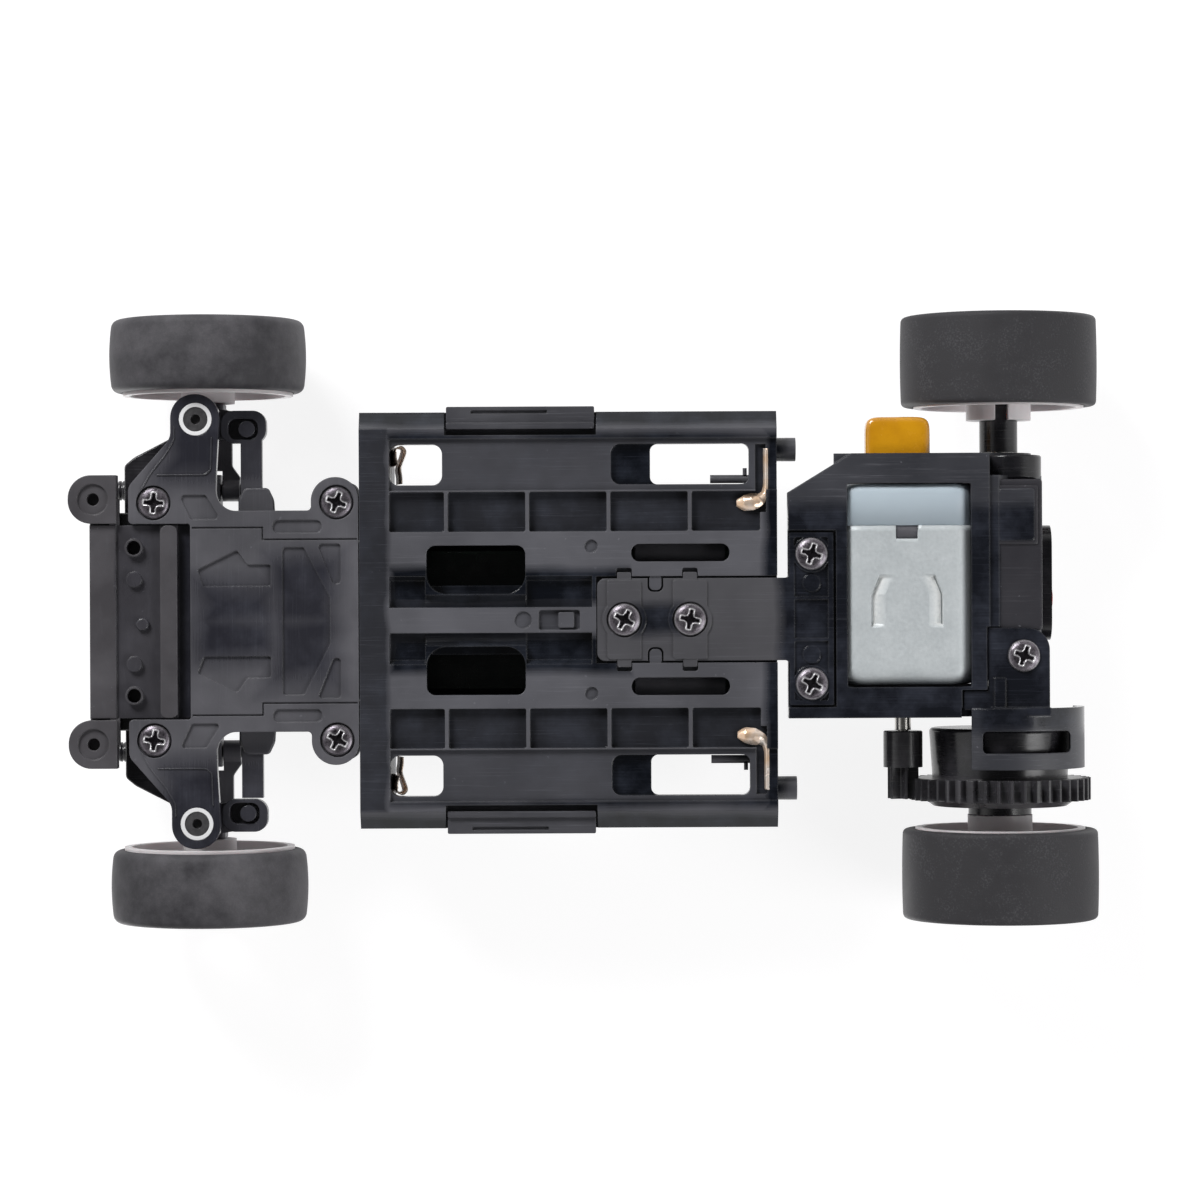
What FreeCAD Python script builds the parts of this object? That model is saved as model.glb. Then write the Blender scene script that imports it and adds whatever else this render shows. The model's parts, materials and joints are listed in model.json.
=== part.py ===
import FreeCAD, Part
import math
import os
import re
import Sketcher

# A small radio-controlled drift car without its body shell. +X is forward, +Y is the car's left, +Z is up.
# The wheels stand on Z = 0 and the origin is under the middle of the whole car. Lengths are millimetres.

# Driving dimensions, one plain number each.
SIZES = {
    # wheels
    "wheelbase": 98.0, "tyre_radius": 12.15, "tyre_thickness": 1.65, "overall_width": 74.5,
    "front_tyre_width": 9.5, "rear_tyre_width": 11.4, "rim_wall": 0.9, "rim_disc": 1.1, "rim_set_in": 1.6,
    "tyre_round": 0.8, "front_hub_radius": 3.3, "rear_hub_radius": 4.0, "axle_radius": 1.0,
    "axle_gap": 0.04, "nut_radius": 2.1, "nut_height": 1.3, "dog_half": 0.75, "dog_length": 1.9,
    "side_gap": 0.1, "rear_hub_reach": 24.4, "front_hub_reach": 26.95, "nose_half": 11.75,
    # belly and tub
    "belly": 2.8, "floor_thickness": 2.0, "nose_reach": 16.15, "tub_to_front_axle": 19.24,
    "tub_to_rear_axle": 27.93, "wheel_gap": 11.9, "tub_height": 11.2, "tub_wall": 0.95, "side_slope": 2.1,
    "front_rim": 3.65, "cell_radius": 5.25, "cell_row_inner": 8.0, "cell_row_outer": 19.05,
    "rib_pockets": 5.0, "rib_width": 0.45, "first_pocket": 6.7, "pocket_step": 9.88, "pocket_low": 10.75,
    "pocket_high": 15.6, "pocket_depth": 1.0, "trough_low": 15.75, "trough_high": 22.05, "trough_depth": 0.5,
    "window_low": 16.45, "window_high": 21.4, "latch_front": 10.6, "latch_rear": 28.65, "latch_depth": 2.1,
    "spine_half": 1.55, "valley_half": 5.35, "valley_depth": 1.1,
    # servo bay and front plate
    "bay_half": 9.6, "bay_height": 13.6, "bay_wall": 1.2, "plate_thickness": 1.4, "boss_radius": 3.05,
    "front_screw_x": 5.75, "rear_screw_x": 16.5, "plate_screw_y": 14.45, "relief_depth": 0.3,
    "seam_gap": 0.1,
    # steering
    "kingpin_x": 0.6, "kingpin_set_in": 0.75, "kingpin_radius": 1.0, "kingpin_head": 1.5, "ring_radius": 1.98,
    "bush_wall": 0.5, "fit_gap": 0.05, "knuckle_wall": 0.55, "knuckle_low": 5.5, "knuckle_high": 14.2,
    "upper_arm_low": 17.2, "upper_arm_thickness": 1.6, "hinge_y": 16.4, "hinge_radius": 0.75,
    "barrel_radius": 1.42, "steer_arm": 5.97, "steer_arm_in": 1.1, "steer_pin_radius": 1.0,
    "steer_slack": 0.27, "tie_low": 5.9, "tie_thickness": 1.8, "spring_wire": 0.35, "spring_coils": 3.0,
    "servo_reach": 5.0, "servo_module": 0.3, "servo_teeth": 42.0, "servo_pinion_teeth": 6.0,
    # pod and motor
    "pod_front": 26.6, "pod_left": 20.1, "pod_right": 12.1, "pod_floor": 1.1,
    "window_front": 19.4, "window_rear": 4.35, "motor_drop": 1.65, "gear_module": 0.5, "spur_teeth": 43.0,
    "pinion_teeth": 6.0, "can_radius": 10.05, "can_flat": 7.55, "can_front": 11.3, "can_back": 8.1,
    "bell_end": 16.4, "shaft_radius": 1.0, "pinion_hub_radius": 2.42,
    "pinion_hub_start": 13.9, "pinion_start": 18.4, "pinion_end": 22.3, "spur_start": 19.8, "spur_end": 22.5,
    "drum_radius": 8.75, "drum_start": 13.6, "guard_radius": 10.45, "guard_wall": 0.9, "guard_start": 11.0,
    "guard_end": 18.5, "tunnel_radius": 4.0, "bearing_radius": 3.0, "bearing_width": 2.4,
    "left_hub_radius": 2.35, "tunnel_left": 20.3, "tunnel_right": 9.2,
    # flexing plate
    "stem_half": 5.02, "stem_thickness": 0.9, "bar_half": 10.5, "bar_length": 5.35,
    "bar_screw": 7.9,
    # screws
    "screw_head": 2.0, "screw_radius": 0.9, "screw_length": 4.5, "head_height": 0.75, "cross_arm": 1.1,
    "cross_width": 0.42,
}

# Places worked out from the driving dimensions.
PLACES = {
    "rear_x": "tyre_radius - (tyre_radius + wheelbase + nose_reach) / 2",
    "front_x": "tyre_radius - (tyre_radius + wheelbase + nose_reach) / 2 + wheelbase",
    "tub_length": "wheelbase - tub_to_front_axle - tub_to_rear_axle",
    "tub_front": "tyre_radius - (tyre_radius + wheelbase + nose_reach) / 2 + wheelbase - tub_to_front_axle",
    "wheel_out": "overall_width / 2",
    "tub_width": "overall_width - 2 * wheel_gap",
    "kingpin_y": "overall_width / 2 - wheel_gap - kingpin_set_in",
    "rim_radius": "tyre_radius - tyre_thickness",
    "floor_top": "belly + floor_thickness",
    "plate_top": "belly + plate_thickness",
    "motor_ahead": "sqrt((gear_module * (spur_teeth + pinion_teeth) / 2) ^ 2 - motor_drop ^ 2)",
    "motor_z": "tyre_radius - motor_drop",
    "spur_root": "gear_module * (spur_teeth / 2 - 1.15)",
    "mesh_angle": "asin(motor_drop / (gear_module * (spur_teeth + pinion_teeth) / 2))",
    "bush_radius": "kingpin_radius + fit_gap + bush_wall",
}

doc = FreeCAD.newDocument("drift_car")
size_sheet = doc.addObject("Spreadsheet::Sheet", "Sizes")
place_sheet = doc.addObject("Spreadsheet::Sheet", "Places")
nodes = []
pockets = []


def named(text):
    """Put the sheet's name before each size and place in an expression."""
    def full(match):
        word = match.group(0)
        if word in SIZES:
            return "Sizes." + word
        if word in PLACES:
            return "Places." + word
        return word
    return re.sub(r"[a-z_][a-z_0-9]*", full, str(text))


def fill_sheets():
    for row, (word, number) in enumerate(SIZES.items(), 1):
        size_sheet.set(f"A{row}", word)
        size_sheet.set(f"B{row}", str(number))
        size_sheet.setAlias(f"B{row}", word)
    doc.recompute()
    for row, (word, formula) in enumerate(PLACES.items(), 1):
        place_sheet.set(f"A{row}", word)
        place_sheet.set(f"B{row}", "=" + named(formula))
        place_sheet.setAlias(f"B{row}", word)
    doc.recompute()


def value(text):
    number = size_sheet.evalExpression(named(text))
    return float(getattr(number, "Value", number))


def bind(thing, field, text):
    thing.setExpression(field, named(text))


def place(thing, x="0", y="0", z="0"):
    for axis, text in (("x", x), ("y", y), ("z", z)):
        if text != "0":
            bind(thing, f"Placement.Base.{axis}", text)
    return thing


def node(thing, name):
    thing.Label = name
    nodes.append(thing)
    return thing


# ---- sketches ----

def polygon(sketch, corners, rules):
    """A closed outline. A corner is (across, up) or (across, up, radius)."""
    points = [FreeCAD.Vector(value(c[0]), value(c[1]), 0) for c in corners]
    radii = [value(c[2]) if len(c) > 2 else 0.0 for c in corners]
    count = len(corners)
    leaves = list(points)
    arrives = list(points)
    for i, point in enumerate(points):
        if radii[i]:
            before = (points[i - 1] - point).normalize()
            after = (points[(i + 1) % count] - point).normalize()
            reach = radii[i] / math.tan(before.getAngle(after) / 2)
            arrives[i] = point + before * reach
            leaves[i] = point + after * reach
    lines = [sketch.addGeometry(Part.LineSegment(leaves[i], arrives[(i + 1) % count])) for i in range(count)]
    for i, corner in enumerate(corners):
        before = lines[i - 1]
        after = lines[i]
        if not radii[i]:
            rules.append((Sketcher.Constraint("Coincident", before, 2, after, 1), None))
            fix(after, 1, corner, rules)
            continue
        into = arrives[i] - points[i]
        away = leaves[i] - points[i]
        middle = points[i] + (into + away).normalize() * math.hypot(radii[i], away.Length)
        round_corner = Part.Circle(middle, FreeCAD.Vector(0, 0, 1), radii[i])
        left_turn = into.cross(away).z < 0
        first, last = (arrives[i], leaves[i]) if left_turn else (leaves[i], arrives[i])
        arc = sketch.addGeometry(Part.ArcOfCircle(round_corner, round_corner.parameter(first),
                                                  round_corner.parameter(last)))
        mark = sketch.addGeometry(Part.Point(points[i]), True)
        rules.append((Sketcher.Constraint("Tangent", before, 2, arc, 1 if left_turn else 2), None))
        rules.append((Sketcher.Constraint("Tangent", arc, 2 if left_turn else 1, after, 1), None))
        rules.append((Sketcher.Constraint("Radius", arc, radii[i]), corner[2]))
        rules.append((Sketcher.Constraint("PointOnObject", mark, 1, before), None))
        rules.append((Sketcher.Constraint("PointOnObject", mark, 1, after), None))
        fix(mark, 1, corner, rules)


def fix(shape, end, corner, rules):
    for kind, text in (("DistanceX", corner[0]), ("DistanceY", corner[1])):
        rules.append((Sketcher.Constraint(kind, shape, end, value(text)), text))


def circle(sketch, across, up, radius, rules):
    middle = FreeCAD.Vector(value(across), value(up), 0)
    index = sketch.addGeometry(Part.Circle(middle, FreeCAD.Vector(0, 0, 1), value(radius)))
    fix(index, 3, (across, up), rules)
    rules.append((Sketcher.Constraint("Radius", index, value(radius)), radius))


def box(left, right, low, high, radius=None):
    corners = [(left, low), (right, low), (right, high), (left, high)]
    if radius is None:
        return corners
    return [corner + (radius,) for corner in corners]


def ring(across, up, radius):
    return ("ring", across, up, radius)


def both(corners):
    """The same outline on the car's left and right."""
    return [corners, mirrored(corners)]


def mirrored(corners):
    if corners[0] == "ring":
        return ("ring", corners[1], f"-({corners[2]})", corners[3])
    return [(c[0], f"-({c[1]})") + tuple(c[2:]) for c in corners]


def drawn(body, plane, start, outlines):
    """A sketch on one of the body's planes. start is its height along +Z, +X or +Y."""
    sketch = body.newObject("Sketcher::SketchObject", "outline")
    flat = [f for f in body.Origin.OriginFeatures if f.Role == plane + "_Plane"][0]
    sketch.AttachmentSupport = (flat, [""])
    sketch.MapMode = "FlatFace"
    sign = "-" if plane == "XZ" else ""
    bind(sketch, "AttachmentOffset.Base.z", f"{sign}({start})")
    rules = []
    for shape in outlines:
        if shape[0] == "ring":
            circle(sketch, *shape[1:], rules)
        else:
            polygon(sketch, shape, rules)
    sketch.addConstraint([rule for rule, text in rules])
    for number, (rule, text) in enumerate(rules):
        if text is not None:
            bind(sketch, f"Constraints[{number}]", text)
    return sketch


def pad(body, plane, low, high, *outlines):
    start = high if plane == "XZ" else low
    feature = body.newObject("PartDesign::Pad", "pad")
    feature.Profile = drawn(body, plane, start, outlines)
    feature.Refine = False
    bind(feature, "Length", f"({high}) - ({low})")
    return feature


def cut(body, plane, low, high, *outlines):
    """Pockets between two heights, a pair of outlines in each, and a test that each one removes something."""
    start = high if plane == "XZ" else low
    for first in range(0, len(outlines), 2):
        feature = body.newObject("PartDesign::Pocket", "pocket")
        feature.Profile = drawn(body, plane, start, outlines[first:first + 2])
        feature.Reversed = True
        feature.Refine = False
        bind(feature, "Length", f"({high}) - ({low})")
        pockets.append(feature)
    return feature


def turned(body, plane, axis, profile, groove=False):
    """Revolve a profile about the sketch's H or V axis."""
    kind = "PartDesign::Groove" if groove else "PartDesign::Revolution"
    feature = body.newObject(kind, "turned")
    sketch = drawn(body, plane, "0", [profile])
    feature.Profile = sketch
    feature.ReferenceAxis = (sketch, [axis + "_Axis"])
    feature.Angle = 360
    return feature


def new_body(name):
    body = doc.addObject("PartDesign::Body", name)
    body.Label = name
    return body


def piece(name, x="0", y="0", z="0"):
    return node(place(new_body(name), x, y, z), name)


def pair(source, name):
    """One node that holds a left-hand piece and its right-hand twin."""
    twin = doc.addObject("Part::Mirroring", source.Label + "_twin")
    twin.Source = source
    twin.Normal = FreeCAD.Vector(0, 1, 0)
    held = doc.addObject("Part::Compound", name)
    held.Links = [source, twin]
    return node(held, name)


def reflected(source, name):
    """The right-hand twin of a left-hand piece."""
    twin = doc.addObject("Part::Mirroring", name)
    twin.Source = source
    twin.Normal = FreeCAD.Vector(0, 1, 0)
    return node(twin, name)


def group(name, copies):
    """One node that holds several copies: (source, x, y, z) each."""
    links = []
    for number, (source, x, y, z) in enumerate(copies):
        link = doc.addObject("App::Link", f"{name}_{number}")
        link.LinkedObject = source
        link.LinkTransform = False
        place(link, x, y, z)
        links.append(link)
    held = doc.addObject("Part::Compound", name)
    held.Links = links
    return node(held, name)


# ---- wheels ----

def make_tyre(name, width, x):
    tyre = piece(name, x=x, y="wheel_out", z="tyre_radius")
    outline = [(f"-({width})", "rim_radius"), ("0", "rim_radius"), ("0", "tyre_radius", "tyre_round"),
               (f"-({width})", "tyre_radius", "tyre_round")]
    turned(tyre, "YZ", "H", outline)
    return tyre


def make_rim(name, width, hub_radius, hub_reach, x, bore):
    """A barrel, a disc set in from the outer face, a hub that reaches inboard, and round holes."""
    rim = piece(name, x=x, y="wheel_out", z="tyre_radius")
    inner = "rim_radius - rim_wall"
    hub_end = f"({hub_reach}) - wheel_out"
    outline = [(hub_end, bore), ("-rim_set_in", bore), ("-rim_set_in", inner), ("-0.1", inner),
               ("-0.1", "rim_radius"), (f"0.1 - ({width})", "rim_radius"), (f"0.1 - ({width})", inner),
               ("-rim_set_in - rim_disc", inner), ("-rim_set_in - rim_disc", hub_radius),
               (hub_end, hub_radius)]
    turned(rim, "YZ", "H", outline)
    spoke_gap = f"(rim_radius - rim_wall - ({hub_radius})) / 2"
    middle = f"({hub_radius}) + {spoke_gap}"
    hole = cut(rim, "XZ", "-rim_set_in - rim_disc - 0.1", "0.1 - rim_set_in",
               ring(middle, "0", f"0.72 * {spoke_gap}"))
    pattern = rim.newObject("PartDesign::PolarPattern", "holes")
    pattern.Originals = [hole]
    pattern.Axis = (hole.Profile[0], ["N_Axis"])
    pattern.Occurrences = 6
    rim.Tip = pattern
    return rim


def slot_hub(rim):
    """The left rear hub is slotted across its end for the axle hub's drive dog."""
    nodes.remove(rim)
    slot = block("rear_x - dog_half - 0.05", "rear_x + dog_half + 0.05", "rear_hub_reach - 0.1",
                 "rear_hub_reach + dog_length + 0.1", "tyre_radius - rear_hub_radius - 0.1",
                 "tyre_radius + rear_hub_radius + 0.1")
    rim.Label = "rear_rim_blank"
    node(joined("Cut", rim, slot, "rear_rim_left"), "rear_rim_left")


def make_nut(name, x):
    nut = piece(name, x=x, y="wheel_out - rim_set_in + side_gap", z="tyre_radius")
    bore = "axle_radius + axle_gap"
    turned(nut, "YZ", "H", [("0", bore), ("nut_height", bore), ("nut_height", "nut_radius", "0.3"),
                            ("0", "nut_radius")])
    return nut


# ---- main chassis ----

def make_chassis():
    chassis = piece("main_chassis", x="tub_front")
    half = "tub_width / 2"
    top = "floor_top + tub_height"
    back = "-tub_length"
    section = [(f"-({half})", "belly + 1.3"), (f"side_slope - ({half})", "belly"),
               (f"{half} - side_slope", "belly"),
               (half, "belly + 1.3"), (half, top), (f"-({half})", top)]
    pad(chassis, "YZ", back, "0", section)
    make_servo_bay(chassis)
    make_cell_bays(chassis, top)
    make_belly_relief(chassis)
    make_stem_recess(chassis)
    make_rear_pegs(chassis)
    return chassis


def make_servo_bay(chassis):
    """The box ahead of the tub that holds the steering servo, with the four screw posts and the arm lugs."""
    low = "plate_top"
    high = "plate_top + bay_height"
    front = "tub_to_front_axle + 1.2"
    pad(chassis, "XY", low, high, box("-0.5", front, "-bay_half", "bay_half"))
    horn = "tub_to_front_axle + front_screw_x"
    screw_rear = "tub_to_front_axle - rear_screw_x"
    for side in ("", "-"):
        rear_post = box(f"{screw_rear} - 2.4", f"{screw_rear} + 2.4", f"{side}(bay_half - 0.5)",
                        f"{side}(plate_screw_y + 2.4)", "1.0")
        front_post = box(f"tub_to_front_axle + 1.0", f"{horn} + 2.6", f"{side}(nose_half + 0.2)",
                         f"{side}(plate_screw_y + 2.4)", "1.0")
        pad(chassis, "XY", low, f"{low} + 4.2", rear_post)
        pad(chassis, "XY", low, f"{low} + 4.2", front_post)
        lug_rear = "tub_to_front_axle - 1.0"
        lug_front = "tub_to_front_axle + 7.4"
        lug = box(f"{side}(bay_half - 0.4)", f"{side}(hinge_y + 1.9)", "upper_arm_low - 1.1",
                  "upper_arm_low + upper_arm_thickness + 1.1", "0.9")
        pad(chassis, "YZ", lug_rear, lug_front, lug)
        cut(chassis, "YZ", lug_rear, lug_front,
            ring(f"{side}(hinge_y)", "upper_arm_low + upper_arm_thickness / 2", "hinge_radius + fit_gap"))
        web = box(f"tub_to_front_axle + 1.0", f"{horn} + 1.6", f"{side}(bay_half - 2.0)",
                  f"{side}(plate_screw_y + 1.0)")
        pad(chassis, "XY", f"{low} + 4.0", "upper_arm_low - 0.9", web)
    inside_front = f"{front} - bay_wall"
    inside = "bay_half - bay_wall"
    cut(chassis, "XY", f"{low} + bay_wall", f"{high} + 0.1",
        box("bay_wall", inside_front, f"-({inside})", inside))
    for side in ("", "-"):
        for along in (screw_rear, horn):
            cut(chassis, "XY", low, f"{low} + 3.8",
                ring(along, f"{side}(plate_screw_y)", "screw_radius + 0.03"))
    window = box(f"tub_to_front_axle - 7.6", f"tub_to_front_axle - 2.0", "tie_low - 0.4",
                 "tie_low + tie_thickness + 0.4")
    cut(chassis, "XZ", "-bay_half - 0.1", "bay_half + 0.1", window)


def make_cell_bays(chassis, top):
    """Two round-bottomed troughs on each side of the spine, open at the top, with end walls."""
    front = "-front_rim"
    back = "tub_wall - tub_length"
    wall = "tub_width / 2 - tub_wall"
    low = "floor_top"
    centre = f"{low} + cell_radius"
    bay = box("cell_row_inner - cell_radius", wall, centre, f"{top} + 0.1")
    cut(chassis, "YZ", back, front, *both_across(bay))
    rows = [ring("cell_row_inner", centre, "cell_radius - 0.02"),
            ring("cell_row_outer", centre, "cell_radius - 0.02")]
    cut(chassis, "YZ", back, front, *both_across(rows[0]))
    cut(chassis, "YZ", back, front, *both_across(rows[1]))
    deck = box("-tub_length + tub_wall", "-front_rim", "-1.5", "1.5")
    cut(chassis, "XY", f"{low} + 4.0", f"{top} + 0.1", deck)


def both_across(shape):
    """The same outline mirrored in its first coordinate."""
    if shape[0] == "ring":
        return [shape, ("ring", f"-({shape[1]})", shape[2], shape[3])]
    return [shape, [(f"-({c[0]})",) + tuple(c[1:]) for c in shape]]


def make_belly_relief(chassis):
    """Troughs, rib pockets, windows, slots and the sloped valley beside the spine, all cut from below."""
    start = "-front_rim"
    end = "-tub_length"
    below = "belly - 0.1"
    cut(chassis, "XY", below, "belly + trough_depth",
        *both(box(end + " - 0.1", start, "trough_low", "trough_high")))
    last = int(SIZES["rib_pockets"]) - 1
    ribs = []
    for number in range(last + 1):
        ridge = f"-front_rim - first_pocket - {number} * pocket_step"
        front = f"{ridge} - rib_width + pocket_step" if number else start
        back = ridge if number < last else "2.05 - tub_length"
        ribs += both(box(back, front, "pocket_low", "pocket_high", "0.25"))
    cut(chassis, "XY", below, "belly + pocket_depth", *ribs)
    through = "floor_top + 1.6"
    front_window = box(f"{start} - 6.45", start, "window_low", "window_high", "1.2")
    rear_window = box("3.4 - tub_length", "20.2 - tub_length", "window_low", "window_high", "1.2")
    cut(chassis, "XY", below, through, *both(front_window))
    cut(chassis, "XY", below, "belly + 1.4", *both(rear_window))
    open_part = box("3.4 - tub_length", "15.4 - tub_length", "window_low + 0.02", "window_high - 0.02", "0.9")
    cut(chassis, "XY", below, through, *both(open_part))
    inner_window = [("-20.2", "3.2", "2.4"), ("-8.15", "3.2", "2.4"), ("-8.15", "9.1", "1.1"),
                    ("-20.2", "9.1", "1.1")]
    cut(chassis, "XY", below, through, *both(inner_window))
    slot = box("5.8 - tub_length", "17.75 - tub_length", "7.05", "9.2", "1.0")
    cut(chassis, "XY", below, through, *both(slot))
    valley = [("spine_half", "belly - 0.1"), ("valley_half", "belly - 0.1"), ("valley_half", "belly"),
              ("valley_half - 0.5", "belly + valley_depth"), ("spine_half", "belly + valley_depth")]
    cut(chassis, "YZ", "-8.0", start, *both_across(valley))
    cut(chassis, "YZ", "-28.3", "-20.3", *both_across(valley))
    narrow = [("spine_half", "belly - 0.1"), ("3.05", "belly - 0.1"), ("3.05", "belly + 0.7"),
              ("spine_half", "belly + valley_depth")]
    cut(chassis, "YZ", "-20.4", "-7.9", *both_across(narrow))
    cut(chassis, "XY", below, "belly + 0.5", box("-26.8", "-21.8", "-1.2", "1.2", "0.3"))
    pad(chassis, "XY", "belly + 0.1", "belly + 0.6", box("-26.1", "-24.2", "-0.95", "0.95", "0.2"))
    cut(chassis, "XY", below, "belly + 0.25", ring("-19.9", "0", "1.05"))
    cut(chassis, "XY", below, "belly + pocket_depth", *both(box("-49.5", "-48.2", "13.0", "21.3")))
    dimple = ring("-28.2", "8.95", "0.8")
    cut(chassis, "XY", below, "belly + 0.3", *both(dimple))
    latch_room = box("-latch_rear - 0.2", "0.2 - latch_front", "tub_width / 2 - latch_depth - 0.75",
                     "tub_width / 2 + 0.1")
    cut(chassis, "XY", below, "belly + 1.9", *both(latch_room))


def make_stem_recess(chassis):
    """The recess under the tub's rear that takes the flexing plate, with two screw bosses."""
    depth = "belly + stem_thickness + 0.2"
    reach = "stem_half + 0.25"
    cut(chassis, "XY", "belly - 0.1", depth, box("-tub_length - 0.1", "-28.8", f"-({reach})", reach))
    tabs = []
    for along in ("-32.2", "-40.2"):
        tabs += both(box(f"{along} - 0.95", f"{along} + 0.95", "stem_half + 0.1", "stem_half + 1.25", "0.3"))
    cut(chassis, "XY", "belly - 0.1", "belly + 0.6", *tabs)
    pad(chassis, "XY", "belly + 0.2", f"{depth} + 0.1",
        *both(box("-36.75", "-35.25", "stem_half - 1.45", "stem_half + 0.5", "0.6")))
    for along in ("-32.2", "-40.2"):
        cut(chassis, "XY", "belly", "floor_top + 2.6", ring(along, "0", "screw_radius + 0.03"))


def make_rear_pegs(chassis):
    """Round pegs that the body shell's rear clips on."""
    pad(chassis, "YZ", "-tub_length - 2.45", "-tub_length + 0.5",
        *both_across(ring("20.75", "belly + 4.2", "1.45")))


def make_front_plate():
    """The lower arm plate: arms out to the kingpins, four screw bosses and shallow relief shapes."""
    plate = piece("lower_arm_plate", x="front_x")
    out = "kingpin_y + boss_radius"
    left = [("1.3", "11.9", "0.3"), ("8.8", "11.9", "0.5"), ("8.8", "plate_screw_y + 2.0", "1.6"),
            ("kingpin_x + boss_radius", "kingpin_y - 2.3", "2.0"),
            ("kingpin_x + boss_radius", out, "boss_radius - 0.2"),
            ("kingpin_x - boss_radius", out, "boss_radius - 0.2"), ("-1.9", "18.0", "1.0"),
            ("-1.8", "13.45", "2.4"),
            ("3.1 - rear_screw_x", "13.45", "0.5"),
            ("3.1 - rear_screw_x", "plate_screw_y + boss_radius", "2.9"),
            ("seam_gap - tub_to_front_axle", "plate_screw_y + boss_radius", "2.7")]
    left += [("seam_gap - tub_to_front_axle", "-0.5"), ("1.3", "-0.5")]
    pad(plate, "XY", "belly", "plate_top", left)
    pad(plate, "XY", "belly", "plate_top", mirrored(left)).Refine = True
    arm_top = "plate_top + 0.6"
    pad(plate, "XY", "plate_top - 0.3", arm_top, *both(ring("kingpin_x", "kingpin_y", "boss_radius - 0.4")))
    cut(plate, "XY", "belly - 0.1", f"{arm_top} + 0.1",
        *both(ring("kingpin_x", "kingpin_y", "ring_radius + 0.02")))
    for along in ("front_screw_x", "-rear_screw_x"):
        cut(plate, "XY", "belly - 0.1", "plate_top + 0.1",
            *both(ring(along, "plate_screw_y", "screw_radius + 0.1")))
        cut(plate, "XY", "belly - 0.1", "belly + 0.55",
            *both(ring(along, "plate_screw_y", "screw_head + 0.12")))
    relief = "belly + relief_depth"
    trapezoid = [("2.6", "15.4", "0.4"), ("-0.6", "15.4", "0.4"), ("-2.4", "12.4", "0.4"),
                 ("1.2", "12.4", "0.4")]
    slot = box("-14.7", "-8.7", "10.7", "12.3", "0.75")
    wedge = [("0.45", "6.3", "0.3"), ("-4.4", "8.7", "0.4"), ("-5.6", "6.9", "0.3"), ("-8.5", "6.9", "0.3"),
             ("-8.5", "4.25", "0.3"), ("-0.3", "4.25", "0.3")]
    corner = [("-14.1", "9.4", "0.4"), ("-17.0", "9.4", "0.4"), ("-17.0", "4.6", "0.5"),
              ("-16.1", "4.4", "0.5")]
    cut(plate, "XY", "belly - 0.1", relief, *both(trapezoid), *both(slot), *both(wedge), *both(corner))
    shield = [("-9.9", "9.0", "0.4"), ("-12.5", "9.0", "0.4"), ("-15.7", "2.8", "0.5"),
              ("-15.7", "-2.8", "0.5"), ("-12.5", "-9.0", "0.4"), ("-9.9", "-9.0", "0.4")]
    cut(plate, "XY", "belly - 0.1", relief, shield)
    seam_front = box("-7.6", "1.1", "11.3", "11.5")
    seam_step = box("-7.6", "-7.4", "9.85", "11.35")
    seam_rear = box("-19.0", "-7.5", "9.85", "10.05")
    for seam in (seam_front, seam_step, seam_rear):
        cut(plate, "XY", "belly - 0.1", "belly + 0.2", *both(seam))
    return plate


def make_bumper():
    """The nose: two drilled ears, a front band, a glossy strip with tubes and pins, and a raised band."""
    nose = piece("front_bumper", x="front_x")
    low = "belly"
    ear = "14.9"
    ears = [("10.3", f"{ear} - 2.95"), ("nose_reach", f"{ear} - 2.95", "2.8"),
            ("nose_reach", f"{ear} + 2.95", "2.8"), ("10.3", f"{ear} + 2.95")]
    pad(nose, "XY", low, f"{low} + 2.2", *both(ears))
    pad(nose, "XY", f"{low} + 0.6", f"{low} + 3.4", box("1.45", "13.6", "-nose_half", "nose_half"))
    pad(nose, "XY", low, f"{low} + 0.7", box("2.9", "4.95", "-11.7", "11.7", "0.8"))
    pad(nose, "XY", f"{low} + 0.7", f"{low} + 1.5", box("10.0", "11.2", "-15.0", "15.0"))
    cut(nose, "XY", f"{low} + 0.5", f"{low} + 1.0", box("5.0", "10.4", "-11.8", "11.8"))
    cut(nose, "XY", f"{low} + 0.5", f"{low} + 1.4", box("1.4", "2.88", "-11.8", "11.8"))
    cut(nose, "XY", f"{low} - 0.1", f"{low} + 1.8", *both(ring("13.15", ear, "0.75")))
    cut(nose, "XY", f"{low} - 0.1", f"{low} + 0.35", *both(ring("13.15", ear, "1.9")))
    pad(nose, "XY", f"{low} + 0.2", f"{low} + 1.1", *both(ring("8.2", "9.0", "1.1")))
    cut(nose, "XY", f"{low} + 0.1", f"{low} + 2.9", *both(ring("8.2", "9.0", "0.85")))
    pad(nose, "XY", f"{low} + 0.4", f"{low} + 1.1", *both(ring("8.2", "5.15", "0.93")))
    return nose


# ---- front suspension ----

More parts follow.
